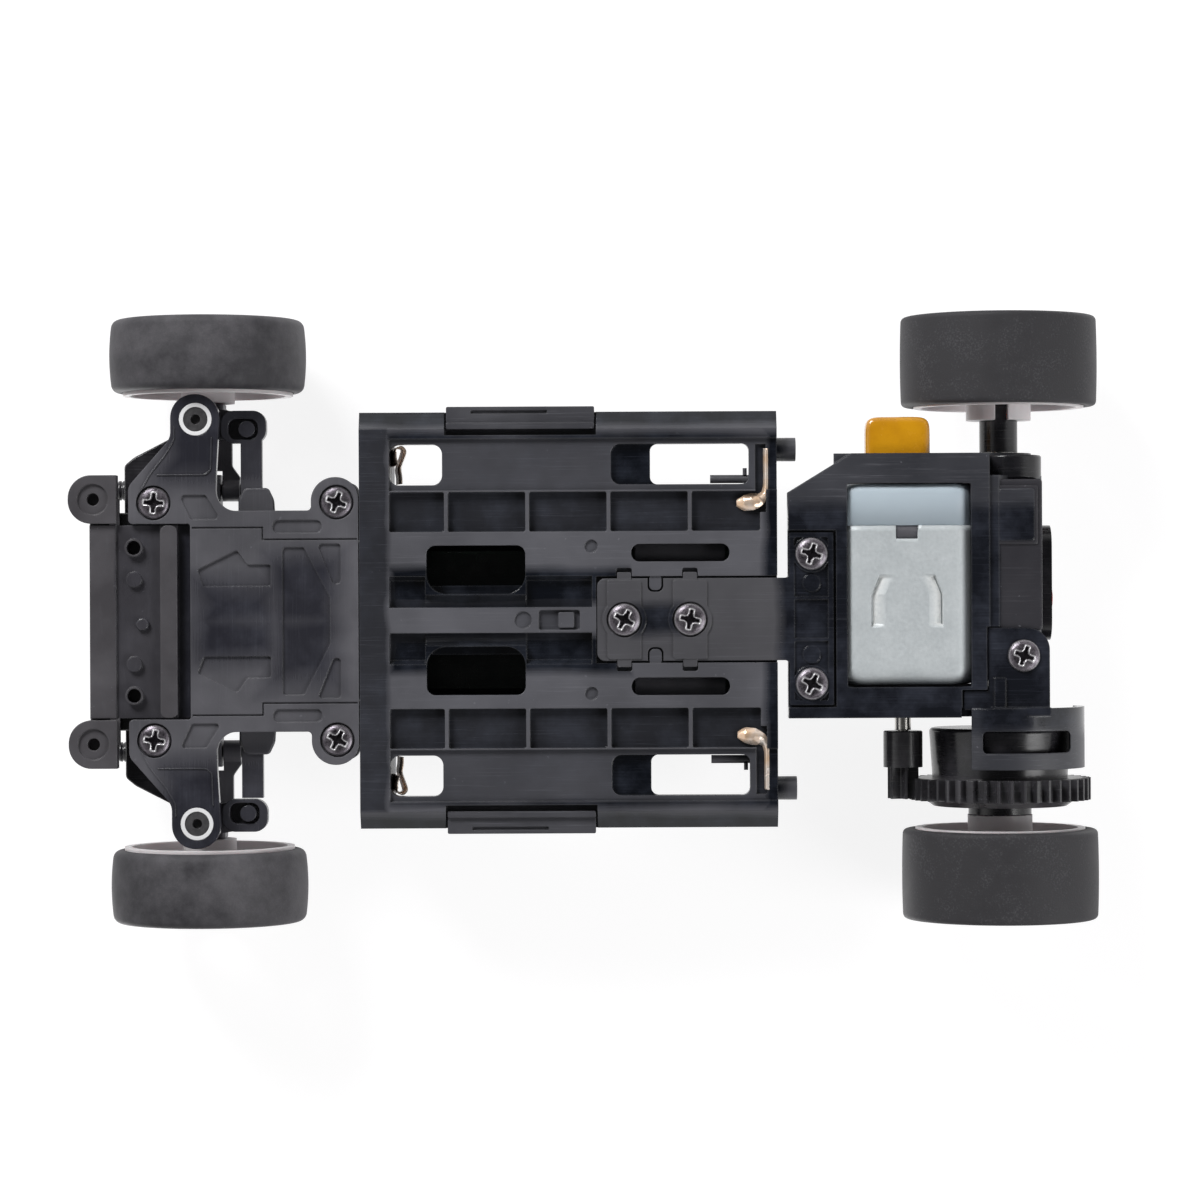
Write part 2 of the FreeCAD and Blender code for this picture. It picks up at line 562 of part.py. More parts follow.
def make_front_corner():
    x = "front_x + kingpin_x"
    y = "kingpin_y"
    pin = place(new_body("kingpin"), x, y)
    top = "upper_arm_low + upper_arm_thickness + 1.3"
    turned(pin, "XZ", "V",
           [("0", "belly + 0.1"), ("kingpin_head", "belly + 0.1"), ("kingpin_head", "plate_top - 0.2"),
            ("kingpin_radius", "plate_top - 0.2"), ("kingpin_radius", top, "0.3"), ("0", top)])
    cut(pin, "XY", "belly", "belly + 1.0", ring("0", "0", "0.6"))
    bush = place(new_body("kingpin_ring"), x, y)
    turned(bush, "XZ", "V",
           [("kingpin_head", "belly"), ("ring_radius", "belly"), ("ring_radius", "plate_top + 0.55"),
            ("kingpin_radius + fit_gap", "plate_top + 0.55"),
            ("kingpin_radius + fit_gap", "plate_top - 0.15"), ("kingpin_head", "plate_top - 0.15")])
    sleeve = piece("knuckle_bush_left", x, y)
    inner = "kingpin_radius + fit_gap"
    foot = "plate_top + 0.7"
    turned(sleeve, "XZ", "V", [(inner, foot), ("2.1", foot), ("2.1", "knuckle_low - 0.05"),
                               ("bush_radius", "knuckle_low - 0.05"), ("bush_radius", "knuckle_high + 0.3"),
                               (inner, "knuckle_high + 0.3")])
    pair(pin, "kingpins")
    pair(bush, "kingpin_rings")
    return sleeve


def make_knuckle():
    """The upright: a tube round the sleeve, the stub axle and the steering arm with its pin."""
    knuckle = piece("knuckle_left", "front_x + kingpin_x", "kingpin_y")
    outer = "bush_radius + fit_gap + knuckle_wall"
    pad(knuckle, "XY", "knuckle_low", "knuckle_high", ring("0", "0", outer))
    shoulder = "front_hub_reach - kingpin_y - 0.15"
    axle = "tyre_radius"
    block = box("-kingpin_x - 2.1", "2.2 - kingpin_x", f"{axle} - 2.3", f"{axle} + 2.0", "0.5")
    pad(knuckle, "XZ", "0.4", shoulder, block)
    pad(knuckle, "XZ", "0.5", "wheel_out - rim_set_in + side_gap + nut_height + 0.1 - kingpin_y",
        ring("-kingpin_x", axle, "axle_radius"))
    arm_low = "tie_low + tie_thickness + 0.35"
    pin_x = "-steer_arm"
    pin_y = "-steer_arm_in"
    arm = [("0", "-1.9"), ("0", "1.9"),
           (f"{pin_x} - 1.7", f"{pin_y} + 1.7", "1.6"), (f"{pin_x} - 1.7", f"{pin_y} - 1.7", "1.6")]
    pad(knuckle, "XY", arm_low, f"{arm_low} + 1.5", arm)
    pad(knuckle, "XY", "tie_low - 0.35", f"{arm_low} + 0.1", ring(pin_x, pin_y, "steer_pin_radius"))
    cut(knuckle, "XY", "knuckle_low - 0.1", "knuckle_high + 0.1", ring("0", "0", "bush_radius + fit_gap"))
    return knuckle


def make_upper_arm():
    """The upper arm: a forked barrel on the hinge pin, narrowing to the eye round the kingpin."""
    arm = piece("upper_arm_left", "front_x")
    low = "upper_arm_low"
    high = "upper_arm_low + upper_arm_thickness"
    out = "kingpin_y + 2.8"
    inner = "hinge_y - barrel_radius + 0.4"
    blade = [("-3.4", inner), ("-1.2", inner), ("-1.2", "hinge_y + 2.4"), ("7.6", "hinge_y + 2.4"),
             ("7.6", inner),
             ("10.1", inner), ("10.1", "hinge_y + 2.9", "0.6"), ("kingpin_x + 3.0", "kingpin_y - 1.8", "1.5"),
             ("kingpin_x + 3.0", out, "2.7"), ("kingpin_x - 3.0", out, "2.7"),
             ("kingpin_x - 3.0", "hinge_y + 3.0", "0.8"),
             ("-3.4", "hinge_y + 1.6")]
    pad(arm, "XY", f"{low} + 0.2", f"{high} - 0.2", blade)
    middle = f"{low} + upper_arm_thickness / 2"
    for start, end in (("-3.4", "-1.2"), ("7.6", "10.1")):
        pad(arm, "YZ", start, end, ring("hinge_y", middle, "barrel_radius"))
    pad(arm, "XY", low, high, ring("kingpin_x", "kingpin_y", "2.6"))
    cut(arm, "YZ", "-3.5", "10.2", ring("hinge_y", middle, "hinge_radius + fit_gap"))
    cut(arm, "XY", f"{low} - 0.1", f"{high} + 0.1", ring("kingpin_x", "kingpin_y", "kingpin_radius + 0.06"))
    return arm


def make_hinge_pin():
    pin = place(new_body("arm_pin"), "front_x", "hinge_y", "upper_arm_low + upper_arm_thickness / 2")
    pad(pin, "YZ", "-3.7", "10.2", ring("0", "0", "hinge_radius"))
    pad(pin, "YZ", "10.15", "10.85", ring("0", "0", "barrel_radius"))
    return pair(pin, "upper_arm_pins")


def make_spring():
    """A short coil spring on the kingpin, between the sleeve and the upper arm."""
    low = value("knuckle_high + 0.35 + spring_wire")
    high = value("upper_arm_low - 0.05 - spring_wire")
    turns = value("spring_coils")
    wire = value("spring_wire") / 2
    wire_sides = 8
    radius = value("kingpin_radius") + 0.15 + wire
    path = Part.makeHelix((high - low) / turns, high - low, radius)
    turn = 2 * math.pi / wire_sides
    ends = [FreeCAD.Vector(radius + wire * math.cos((side + 0.5) * turn), 0,
                           wire * math.sin((side + 0.5) * turn))
            for side in range(wire_sides)]
    start = Part.makePolygon(ends + ends[:1])
    coil = Part.Wire(path.Edges).makePipeShell([start], True, True)
    spring = doc.addObject("Part::Feature", "front_spring_left")
    spring.Shape = coil
    place(spring, "front_x + kingpin_x", "kingpin_y", f"knuckle_high + 0.35 + spring_wire")
    return node(spring, "front_spring_left")


def make_tie_rod():
    """The steering link across the car, with a slotted ring at each end for the knuckle's pin."""
    rod = piece("tie_rod", "front_x")
    low = "tie_low"
    high = "tie_low + tie_thickness"
    slot_y = "kingpin_y - steer_arm_in"
    back = "kingpin_x - steer_arm - steer_pin_radius - 0.35"
    front = "kingpin_x - steer_arm + 0.95 + steer_pin_radius + 0.35"
    reach = "steer_pin_radius + steer_slack"
    eye = box(f"{back} - 1.0", f"{front} + 0.9", f"{slot_y} - {reach} - 1.0", f"{slot_y} + {reach} + 1.0",
              "1.6")
    pad(rod, "XY", low, high, *both(eye))
    pad(rod, "XY", low, f"{high} - 0.5",
        box("-7.2", "-4.6", f"{reach} + 0.6 - ({slot_y})", f"({slot_y}) - {reach} - 0.6"))
    slot = box(back, front, f"{slot_y} - ({reach})", f"{slot_y} + ({reach})", "steer_pin_radius")
    cut(rod, "XY", f"{low} - 0.1", f"{high} + 0.1", *both(slot))
    pad(rod, "XY", low, f"{high}", *both(box("-7.5", "-4.3", "11.4", "15.4", "0.6")))
    pad(rod, "XY", f"{low} + 0.2", f"{high} + 1.3", box("-6.7", "-5.1", "-3.2", "-1.6"),
        box("-6.7", "-5.1", "1.6", "3.2"))
    return rod


# ---- steering servo ----

def make_servo():
    """A box on four legs that holds an upright motor and an upright output shaft with a lever under it."""
    floor = "plate_top + bay_wall"
    under = "tie_low + tie_thickness + 3.0"
    over = "plate_top + bay_height - 1.6"
    wide = "bay_half - bay_wall - 0.05"
    case = piece("servo_gearbox", "front_x")
    pad(case, "XY", under, over, box("-17.6", "-0.3", f"-({wide})", wide, "0.6"))
    for low, high in (("-17.6", "-16.2"), ("-1.7", "-0.3")):
        for side in ("", "-"):
            pad(case, "XY", floor, f"{under} + 0.1",
                box(low, high, f"{side}({wide})", f"{side}({wide} - 1.6)"))
    shaft = "-servo_reach - 5.9"
    motor_x = f"{shaft} + servo_module * (servo_teeth + servo_pinion_teeth) / 2"
    cut(case, "XY", f"{under} - 0.1", f"{over} + 0.1", ring(shaft, "0", "1.25"))
    cut(case, "XY", f"{under} + 0.6", f"{over} + 0.1", ring(motor_x, "0", "2.85"))
    motor = piece("servo_motor", "front_x")
    pad(motor, "XY", f"{under} + 0.65", f"{over} + 0.05", ring(motor_x, "0", "2.8"))
    cut(motor, "XY", f"{over} - 3.0", f"{over} + 0.1", ring(motor_x, "0", "0.45"))
    horn = piece("servo_horn", "front_x")
    pad(horn, "XY", f"{under} - 1.3", f"{under} - 0.2", box(f"{shaft} - 1.9", "-4.4", "-1.4", "1.4", "1.3"))
    pad(horn, "XY", f"{under} - 0.3", f"{over} + 0.1", ring(shaft, "0", "1.2"))
    pad(horn, "XY", f"{over} + 0.05", f"{over} + 1.4", ring(shaft, "0", "0.6"))
    pad(horn, "XY", "tie_low + tie_thickness - 0.2", f"{under} - 1.2", ring("-5.9", "0", "1.45"))
    gear_low = f"{over} + 0.15"
    gear_high = f"{over} + 1.3"
    big = gear_body("servo_output_gear", "XY", "servo_module", "servo_teeth", gear_low, gear_high)
    cut(big, "XY", f"{gear_low} - 0.1", f"{gear_high} + 0.1", ring("0", "0", "0.63"))
    node(place(big, f"front_x + {shaft}"), "servo_output_gear")
    small = gear_body("servo_pinion", "XY", "servo_module", "servo_pinion_teeth", gear_low, gear_high)
    pad(small, "XY", f"{over} - 2.8", f"{gear_low} + 0.1", ring("0", "0", "0.4"))
    place(small, f"front_x + {motor_x}")
    small.Placement.Rotation = FreeCAD.Rotation(FreeCAD.Vector(0, 0, 1), 1)
    bind(small, "Placement.Rotation.Angle", "180 deg / servo_pinion_teeth")
    node(small, "servo_pinion")


# ---- rear pod ----

def make_pod():
    """The motor pod: a bottom plate with the motor window, side walls, and the tunnel round the axle."""
    pod = piece("motor_pod", "rear_x")
    bar_middle = "pod_front - 0.15 - bar_length / 2"
    low = "belly"
    right = "-pod_right"
    outline = [("pod_front", right), ("pod_front", "pod_left - 4.7"), ("18.9", "pod_left"),
               ("2.1", "pod_left"), ("2.1", right)]
    pad(pod, "XY", low, f"{low} + pod_floor", outline)
    wall_top = "motor_z + can_flat + 1.6"
    beam_back = "pod_front - bar_length - 0.65"
    beam = box(beam_back, "pod_front", right, "pod_left - 4.7")
    pad(pod, "XY", low, f"{low} + 2.6", beam)
    for side in ("", "-"):
        pad(pod, "XY", f"{low} + 2.5", f"{low} + 4.6", ring(bar_middle, f"{side}(bar_screw)", "1.7"))
    right_wall = [("window_front + 1.6", f"{low} + 0.5"), ("window_front + 1.6", "motor_z + 3.5", "2.0"),
                  ("window_front - 4.0", wall_top, "2.0"), ("-3.9", wall_top, "3.0"),
                  ("-3.9", "tyre_radius - 4.4", "2.0"), ("2.1", f"{low} + 0.5")]
    pad(pod, "XZ", right, "-can_back - 0.25", right_wall)
    cap_low = "motor_z - can_flat + 0.6"
    left_wall = box("2.0", "window_front + 1.6", f"{low} + 0.5", cap_low)
    pad(pod, "XZ", "bell_end + 0.06", "pod_left", left_wall)
    post = box("2.0", "8.6", f"{low} + 0.5", "motor_z + 3.0")
    pad(pod, "XZ", "bell_end + 0.06", "pod_left", post)
    tunnel = [("2.4", f"{low} + 0.5"), ("2.4", "tyre_radius + tunnel_radius", "1.5"),
              ("-tunnel_radius - 0.9", "tyre_radius + tunnel_radius", "3.0"),
              ("-tunnel_radius - 0.9", "tyre_radius - tunnel_radius - 1.2", "2.0"),
              ("-1.0", "tyre_radius - tunnel_radius - 2.0"), ("0.9", f"{low} + 0.5")]
    pad(pod, "XZ", "-tunnel_right", "tunnel_left - 2.9", tunnel)
    pad(pod, "XZ", "tunnel_left - 3.0", "tunnel_left", ring("0", "tyre_radius", "tunnel_radius"))
    return pod


def cut_pod(pod):
    low = "belly"
    cut(pod, "XZ", "-can_back - 0.25", "bell_end + 0.06", ring("motor_ahead", "motor_z", "can_radius + 0.15"))
    cut(pod, "XY", f"{low} - 0.1", f"{low} + pod_floor + 0.1",
        box("window_rear", "window_front", "-can_back - 0.2", "bell_end", "0.2"))
    cut(pod, "XY", f"{low} - 0.1", f"{low} + 4.2", box("2.0", "5.6", "-pod_right - 0.1", "0.1 - guard_start"))
    middle = "pod_front - 0.15 - bar_length / 2"
    cut(pod, "XY", low, f"{low} + 4.65", *both(ring(middle, "bar_screw", "screw_radius + 0.03")))
    cut(pod, "XZ", "-pod_right - 0.1", "-can_back - 0.2", ring("motor_ahead", "motor_z", "3.2"))
    cut(pod, "XZ", "-pod_right - 0.1", "tunnel_left + 0.1", ring("0", "tyre_radius", "axle_radius + 0.5"))
    cut(pod, "XZ", "tunnel_left - bearing_width", "tunnel_left + 0.1",
        ring("0", "tyre_radius", "bearing_radius + 0.02"))
    cut(pod, "XZ", "-pod_right - 0.1", "bearing_width - pod_right",
        ring("0", "tyre_radius", "bearing_radius + 0.02"))
    flange_room = box("-5.4", "2.45", "-12.2", "-1.05")
    cut(pod, "XY", f"{low} - 0.1", f"{low} + 1.65", flange_room)
    cut(pod, "XY", f"{low} - 0.1", f"{low} + 1.65", box("2.4", "5.5", "-12.2", "-8.75"))
    pad(pod, "XY", f"{low} + 1.65", "tyre_radius - tunnel_radius", ring("-2.05", "-4.6", "1.9"))
    cut(pod, "XY", f"{low} + 1.6", "tyre_radius - tunnel_radius - 0.2",
        ring("-2.05", "-4.6", "screw_radius + 0.03"))
    recess = box("pod_front - 0.15 - bar_length - 0.3", "pod_front + 0.1", "-bar_half - 0.25",
                 "bar_half + 0.25")
    cut(pod, "XY", f"{low} - 0.1", f"{low} + 0.15 + stem_thickness", recess)
    shade = box("-3.9", "0.5", "9.9", "16.1", "0.4")
    cut(pod, "XY", "tyre_radius - tunnel_radius - 2.5", "tyre_radius - tunnel_radius - 0.7", shade)
    return pod


def make_gear_guard():
    """The curved shell that wraps the differential from behind and below, on a screwed flange."""
    guard = piece("gear_guard", "rear_x")
    inside = "guard_radius - guard_wall"
    turned_shell = [("-guard_end", inside), ("-guard_start", inside), ("-guard_start", "guard_radius"),
                    ("-guard_end", "guard_radius")]
    shell = new_body("guard_shell")
    place(shell, "rear_x", "0", "tyre_radius")
    turned(shell, "YZ", "H", turned_shell)
    cut(shell, "XZ", "-guard_end - 0.1", "0.1 - guard_start",
        [("5.4", "-12"), ("14", "-12"), ("14", "14"), ("-14", "14"), ("-14", "2.0"), ("0", "2.0")])
    cut(shell, "XY", "-12.0", "-5.0", box("-7.9", "3.1", "-16.5", "-13.8", "0.6"))
    low = "belly + 0.4"
    flange = [("2.3", "-11.2"), ("2.3", "-1.2"), ("-5.2", "-1.2", "2.7"), ("-5.2", "-11.2")]
    pad(guard, "XY", low, f"{low} + 1.2", flange)
    pad(guard, "XY", low, f"{low} + 1.2", box("2.1", "5.3", "-11.2", "-8.9", "0.3"))
    pad(guard, "XY", f"{low} - 0.35", f"{low} + 0.1", box("0.2", "1.6", "-11.1", "-7.3"))
    pad(guard, "XZ", "-11.9", "-10.9",
        box("-5.2", "1.9", "tyre_radius - guard_radius + 0.25", f"{low} + 1.2"))
    cut(guard, "XY", f"{low} - 0.1", f"{low} + 1.3", ring("-2.05", "-4.6", "screw_radius + 0.1"))
    nodes.remove(guard)
    whole = doc.addObject("Part::Fuse", "gear_guard")
    whole.Base = guard
    whole.Tool = shell
    guard.Label = "guard_flange"
    return node(whole, "gear_guard")


def gear_body(name, plane, module, teeth, low, high):
    """A spur gear: a root disc and one tapered tooth, repeated round the axis."""
    gear = new_body(name)
    outer = f"{module} * ({teeth} / 2 + 0.9)"
    root = f"{module} * ({teeth} / 2 - 1.15)"
    pad(gear, plane, low, high, ring("0", "0", root))
    foot = f"{module} * 0.8"
    tip = f"{module} * 0.3"
    shape = [(f"{root} - {module} * 0.3", f"-{foot}"), (outer, f"-{tip}"), (outer, tip),
             (f"{root} - {module} * 0.3", foot)]
    tooth = pad(gear, plane, low, high, shape)
    pattern = gear.newObject("PartDesign::PolarPattern", "teeth")
    pattern.Originals = [tooth]
    pattern.Axis = (tooth.Profile[0], ["N_Axis"])
    bind(pattern, "Occurrences", teeth)
    gear.Tip = pattern
    doc.recompute()
    return gear


def make_spur():
    gear = gear_body("spur_gear", "XZ", "gear_module", "spur_teeth", "-spur_end", "-spur_start")
    drum_inner = "axle_radius + axle_gap"
    turned(gear, "YZ", "H",
           [("-spur_end - 0.75", "0"), ("-spur_end - 0.75", "spur_root - 1.9"),
            ("-spur_end + 0.2", "spur_root - 0.6"),
                             ("-spur_start - 0.2", "spur_root - 0.6"), ("-spur_start", "drum_radius - 0.4"),
                             ("-drum_start", "drum_radius", "0.5"),
                             ("-drum_start", "0")])
    cut(gear, "XZ", "-spur_end - 1", "0.2 - drum_start", ring("0", "0", drum_inner))
    place(gear, "rear_x", "0", "tyre_radius")
    gear.Placement.Rotation = FreeCAD.Rotation(FreeCAD.Vector(0, 1, 0), 1)
    bind(gear, "Placement.Rotation.Angle", "mesh_angle")
    return node(gear, "spur_gear")


def make_pinion():
    gear = gear_body("pinion_gear", "XZ", "gear_module", "pinion_teeth", "-pinion_end", "0.1 - pinion_start")
    turned(gear, "YZ", "H", [("-pinion_start", "0"), ("-pinion_start", "pinion_hub_radius"),
                             ("-pinion_hub_start", "pinion_hub_radius", "0.2"), ("-pinion_hub_start", "0")])
    cut(gear, "XZ", "-pinion_end - 0.1", "0.1 - pinion_hub_start", ring("0", "0", "shaft_radius * 0.75"))
    place(gear, "rear_x + motor_ahead", "0", "motor_z")
    gear.Placement.Rotation = FreeCAD.Rotation(FreeCAD.Vector(0, 1, 0), 1)
    bind(gear, "Placement.Rotation.Angle", "mesh_angle + 180 deg / pinion_teeth")
    return node(gear, "pinion_gear")


def cylinder(radius, low, high):
    """A cylinder along Y between two places."""
    thing = doc.addObject("Part::Cylinder", "cylinder")
    bind(thing, "Radius", radius)
    bind(thing, "Height", f"({high}) - ({low})")
    thing.Placement.Rotation = FreeCAD.Rotation(FreeCAD.Vector(1, 0, 0), -90)
    return place(thing, y=low)


def block(left, right, near, far, low, high):
    thing = doc.addObject("Part::Box", "block")
    bind(thing, "Length", f"({right}) - ({left})")
    bind(thing, "Width", f"({far}) - ({near})")
    bind(thing, "Height", f"({high}) - ({low})")
    return place(thing, left, near, low)


def joined(kind, base, tool, name="step"):
    thing = doc.addObject("Part::" + kind, name)
    thing.Base = base
    thing.Tool = tool
    return thing


def flat_sided(radius, flat, low, high):
    """A round bar along Y with two flats."""
    slab = block(f"-({radius})", radius, low, high, f"-({flat})", flat)
    return joined("Common", cylinder(radius, low, high), slab)


def make_motor():
    """The motor: a flat-sided can with a notch, its end bell, the rotor with its shaft, and the capacitor."""
    x = "rear_x + motor_ahead"
    z = "motor_z"
    shell = joined("Cut", flat_sided("can_radius", "can_flat", "-can_back", "can_front"),
                   flat_sided("can_radius - 0.6", "can_flat - 0.6", "-can_back + 0.8", "can_front + 0.1"))
    with_nose = joined("Fuse", shell, cylinder("3.0", "-can_back - 0.9", "-can_back + 0.9"))
    bored = joined("Cut", with_nose, cylinder("shaft_radius + 0.04", "-can_back - 1.0", "1.0 - can_back"))
    notch = block("-1.35", "1.35", "can_front - 1.6", "can_front + 0.1", "-can_flat - 0.1", "0.75 - can_flat")
    node(place(joined("Cut", bored, notch, "motor_can"), x, "0", z), "motor_can")
    plain = flat_sided("can_radius", "can_flat - 0.1", "can_front + 0.02", "bell_end")
    rear_bore = cylinder("shaft_radius * 0.73 + 0.05", "can_front", "bell_end + 0.1")
    node(place(joined("Cut", plain, rear_bore, "motor_end_bell"), x, "0", z), "motor_end_bell")
    rotor = piece("motor_rotor", x, "0", z)
    pad(rotor, "XZ", "1.6 - can_back", "can_front - 1.4", ring("0", "0", "5.6"))
    pad(rotor, "XZ", "-pinion_end + 0.2", "bell_end - 0.6", ring("0", "0", "shaft_radius * 0.73"))
    pad(rotor, "XZ", "0.1 - pinion_hub_start", "1.7 - can_back", ring("0", "0", "shaft_radius"))
    cap = piece("capacitor", x, "0", z)
    rounded = box("-3.0", "4.9", "bell_end + 0.35", "bell_end + 8.2", "0.9")
    pad(cap, "XY", "1.05 - can_flat", "4.55 - can_flat", rounded)


def make_flex_plate():
    """The flat spring between the tub and the pod: a long stem and a crossbar."""
    plate = piece("t_plate", "tub_front")
    low = "belly + 0.1"
    high = "belly + 0.1 + stem_thickness"
    bar_front = "-(tub_length + tub_to_rear_axle - pod_front + 0.15)"
    bar_back = f"{bar_front} - bar_length"
    shape = [("-28.9", "stem_half", "1.0"), (f"{bar_front}", "stem_half", "0.6"),
             (f"{bar_front}", "bar_half", "0.2"),
             (bar_back, "bar_half", "0.2"), (bar_back, "-bar_half", "0.2"), (bar_front, "-bar_half", "0.2"),
             (bar_front, "-stem_half", "0.6"), ("-28.9", "-stem_half", "1.0")]
    pad(plate, "XY", low, high, shape)
    for along in ("-32.2", "-40.2"):
        cut(plate, "XY", f"{low} - 0.1", f"{high} + 0.1", ring(along, "0", "screw_radius + 0.1"))
    cut(plate, "XY", f"{low} - 0.1", f"{high} + 0.1",
        *both(box("-36.95", "-35.05", "stem_half - 1.65", "stem_half + 0.5", "0.7")))
    make_clamp_pads(plate, low)
    middle = f"({bar_front}) - bar_length / 2"
    field = box(f"{bar_back} + 0.65", f"({bar_front}) - 0.6", "0.6 - bar_half", "bar_half - 0.6", "0.3")
    cut(plate, "XY", f"{low} - 0.1", f"{low} + 0.3", field)
    cross_ribs = [box(f"{bar_back} + 0.6", f"({bar_front}) - 0.5", low_side, high_side)
                  for low_side, high_side in (("2.35", "2.7"), ("-2.7", "-2.35"))]
    pad(plate, "XY", low, f"{low} + 0.35", *cross_ribs)
    pad(plate, "XY", f"{low} + 0.1", f"{low} + 0.35", *both(ring(middle, "4.35", "1.09")))
    pad(plate, "XY", low, f"{low} + 0.35", *both(ring(middle, "bar_screw", "screw_head + 0.25")))
    cut(plate, "XY", f"{low} - 0.1", f"{high} + 0.1", *both(ring(middle, "bar_screw", "screw_radius + 0.1")))
    return plate


def make_clamp_pads(plate, low):
    """Two raised pads across the stem, each with a ring round its screw and a tab past each edge."""
    edge = "stem_half - 0.2"
    for along in ("-32.2", "-40.2"):
        pad(plate, "XY", f"{low} - 0.2", f"{low} + 0.1",
            box(f"{along} - 2.05", f"{along} + 2.05", f"-({edge})", edge, "0.3"))
        pad(plate, "XY", f"{low} - 0.2", f"{low} + 0.1", ring(along, "0", "screw_head + 0.65"))
        pad(plate, "XY", f"{low} - 0.1", f"{low} + 0.45",
            *both(box(f"{along} - 0.85", f"{along} + 0.85", "stem_half - 0.5", "stem_half + 0.75", "0.2")))
        cut(plate, "XY", f"{low} - 0.3", f"{low} + 0.1", ring(along, "0", "screw_head + 0.15"))


def make_screw_master():
    """A pan-head cross-recess screw, head down, with its seat at Z = 0 and its shank upward."""
    screw = new_body("screw")
    turned(screw, "XZ", "V",
           [("0", "-head_height"), ("screw_head * 0.62", "-head_height"),
            ("screw_head", "-head_height * 0.45"), ("screw_head", "0"), ("screw_radius", "0"),
            ("screw_radius", "screw_length - 0.8"), ("0", "screw_length")])
    cut(screw, "XY", "-head_height - 0.1", "-0.2",
        box("-cross_arm", "cross_arm", "-cross_width / 2", "cross_width / 2"))
    cut(screw, "XY", "-head_height - 0.1", "-0.2",
        box("-cross_width / 2", "cross_width / 2", "-cross_arm", "cross_arm"))
    return screw


def make_screws():
    screw = make_screw_master()
    plate_seat = "belly + 0.55"
    plate_screws = []
    for side in ("", "-"):
        for along in ("front_x + front_screw_x", "front_x - rear_screw_x"):
            plate_screws.append((screw, along, f"{side}(plate_screw_y)", plate_seat))
    group("arm_plate_screws", plate_screws)
    stem_seat = "belly + 0.08"
    group("t_plate_screws",
          [(screw, "tub_front - 32.2", "0", stem_seat), (screw, "tub_front - 40.2", "0", stem_seat)])
    middle = "rear_x + pod_front - 0.15 - bar_length / 2"
    group("pod_screws", [(screw, middle, "bar_screw", stem_seat), (screw, middle, "-bar_screw", stem_seat)])
    group("gear_guard_screw", [(screw, "rear_x - 2.05", "-4.6", "belly + 0.38")])


def make_axle():
    axle = piece("rear_axle", "rear_x", "0", "tyre_radius")
    end = "wheel_out - rim_set_in + side_gap + nut_height + 0.1"
    pad(axle, "XZ", f"-({end})", end, ring("0", "0", "axle_radius"))
    hub = piece("left_axle_hub", "rear_x", "0", "tyre_radius")
    bore = "axle_radius + axle_gap"
    pad(hub, "XZ", "tunnel_left + 0.15", "rear_hub_reach - 0.05", ring("0", "0", "left_hub_radius"))
    dog = "left_hub_radius - 0.05"
    pad(hub, "XZ", "rear_hub_reach - 0.2", "rear_hub_reach + dog_length",
        box("-dog_half", "dog_half", f"-({dog})", dog))
    cut(hub, "XZ", "tunnel_left", "rear_hub_reach + dog_length + 0.1", ring("0", "0", bore))
    ring_piece = piece("spur_retainer", "rear_x", "0", "tyre_radius")
    pad(ring_piece, "XZ", "0.05 - rear_hub_reach", "-spur_end - 0.8", ring("0", "0", "3.9"))
    cut(ring_piece, "XZ", "-rear_hub_reach", "-spur_end - 0.7", ring("0", "0", bore))
    return axle, hub, ring_piece


def make_rear_bearings():
    """Two plain bearings pressed in the tunnel's ends."""
    bearing = new_body("bearing")
    turned(bearing, "YZ", "H",
           [("0", "axle_radius + axle_gap"), ("bearing_width - 0.1", "axle_radius + axle_gap"),
            ("bearing_width - 0.1", "bearing_radius"), ("0", "bearing_radius")])
    group("rear_bearings", [(bearing, "rear_x", "tunnel_left - bearing_width + 0.02", "tyre_radius"),
                            (bearing, "rear_x", "-pod_right + 0.05", "tyre_radius")])


def make_rear_plate():
    """A round-ended plate on the tunnel's back, with a small coloured adjuster."""
    plate = piece("rear_plate", "rear_x")
    middle = "4.3"
    back = "-tunnel_radius - 2.15"
    outline = box(f"{middle} - 7.1", f"{middle} + 7.1", "tyre_radius - 3.6", "tyre_radius + 2.6", "2.6")
    pad(plate, "YZ", back, f"{back} + 1.22", outline)
    adjuster = piece("rear_adjuster", "rear_x")
    pad(adjuster, "YZ", f"{back} - 0.2", f"{back} - 0.02", ring("2.4", "tyre_radius - 1.4", "1.15"))
    return plate, adjuster


# ---- electrics ----

def make_contacts():
    front = place(new_body("front_contact"), "tub_front")
    low = "floor_top + 0.8"
    hook = [("-front_rim - 0.05", "16.6"), ("-front_rim - 0.05", "21.3"), ("-front_rim - 1.45", "21.3"),
            ("-front_rim - 1.45", "17.6"), ("-front_rim - 1.15", "17.6"), ("-front_rim - 1.15", "21.0"),
            ("-front_rim - 0.35", "21.0"), ("-front_rim - 0.35", "16.6")]
    pad(front, "XY", low, f"{low} + 6.0", hook)
    rear = place(new_body("rear_contact"), "tub_front")
    blade = box("0.05 + tub_wall - tub_length", "0.35 + tub_wall - tub_length", "15.6", "21.2")
    pad(rear, "XY", "floor_top + 1.4", "floor_top + 7.6", blade)
    strip = "belly + pocket_depth - 0.4"
    pad(rear, "XY", strip, f"{strip} + 0.3", box("-49.4", "-48.3", "13.1", "21.2"))
    pad(rear, "XY", strip, f"{strip} + 0.3", box("-48.4", "-45.8", "13.1", "15.5"))
    pair(front, "front_contacts")
    pair(rear, "rear_contacts")


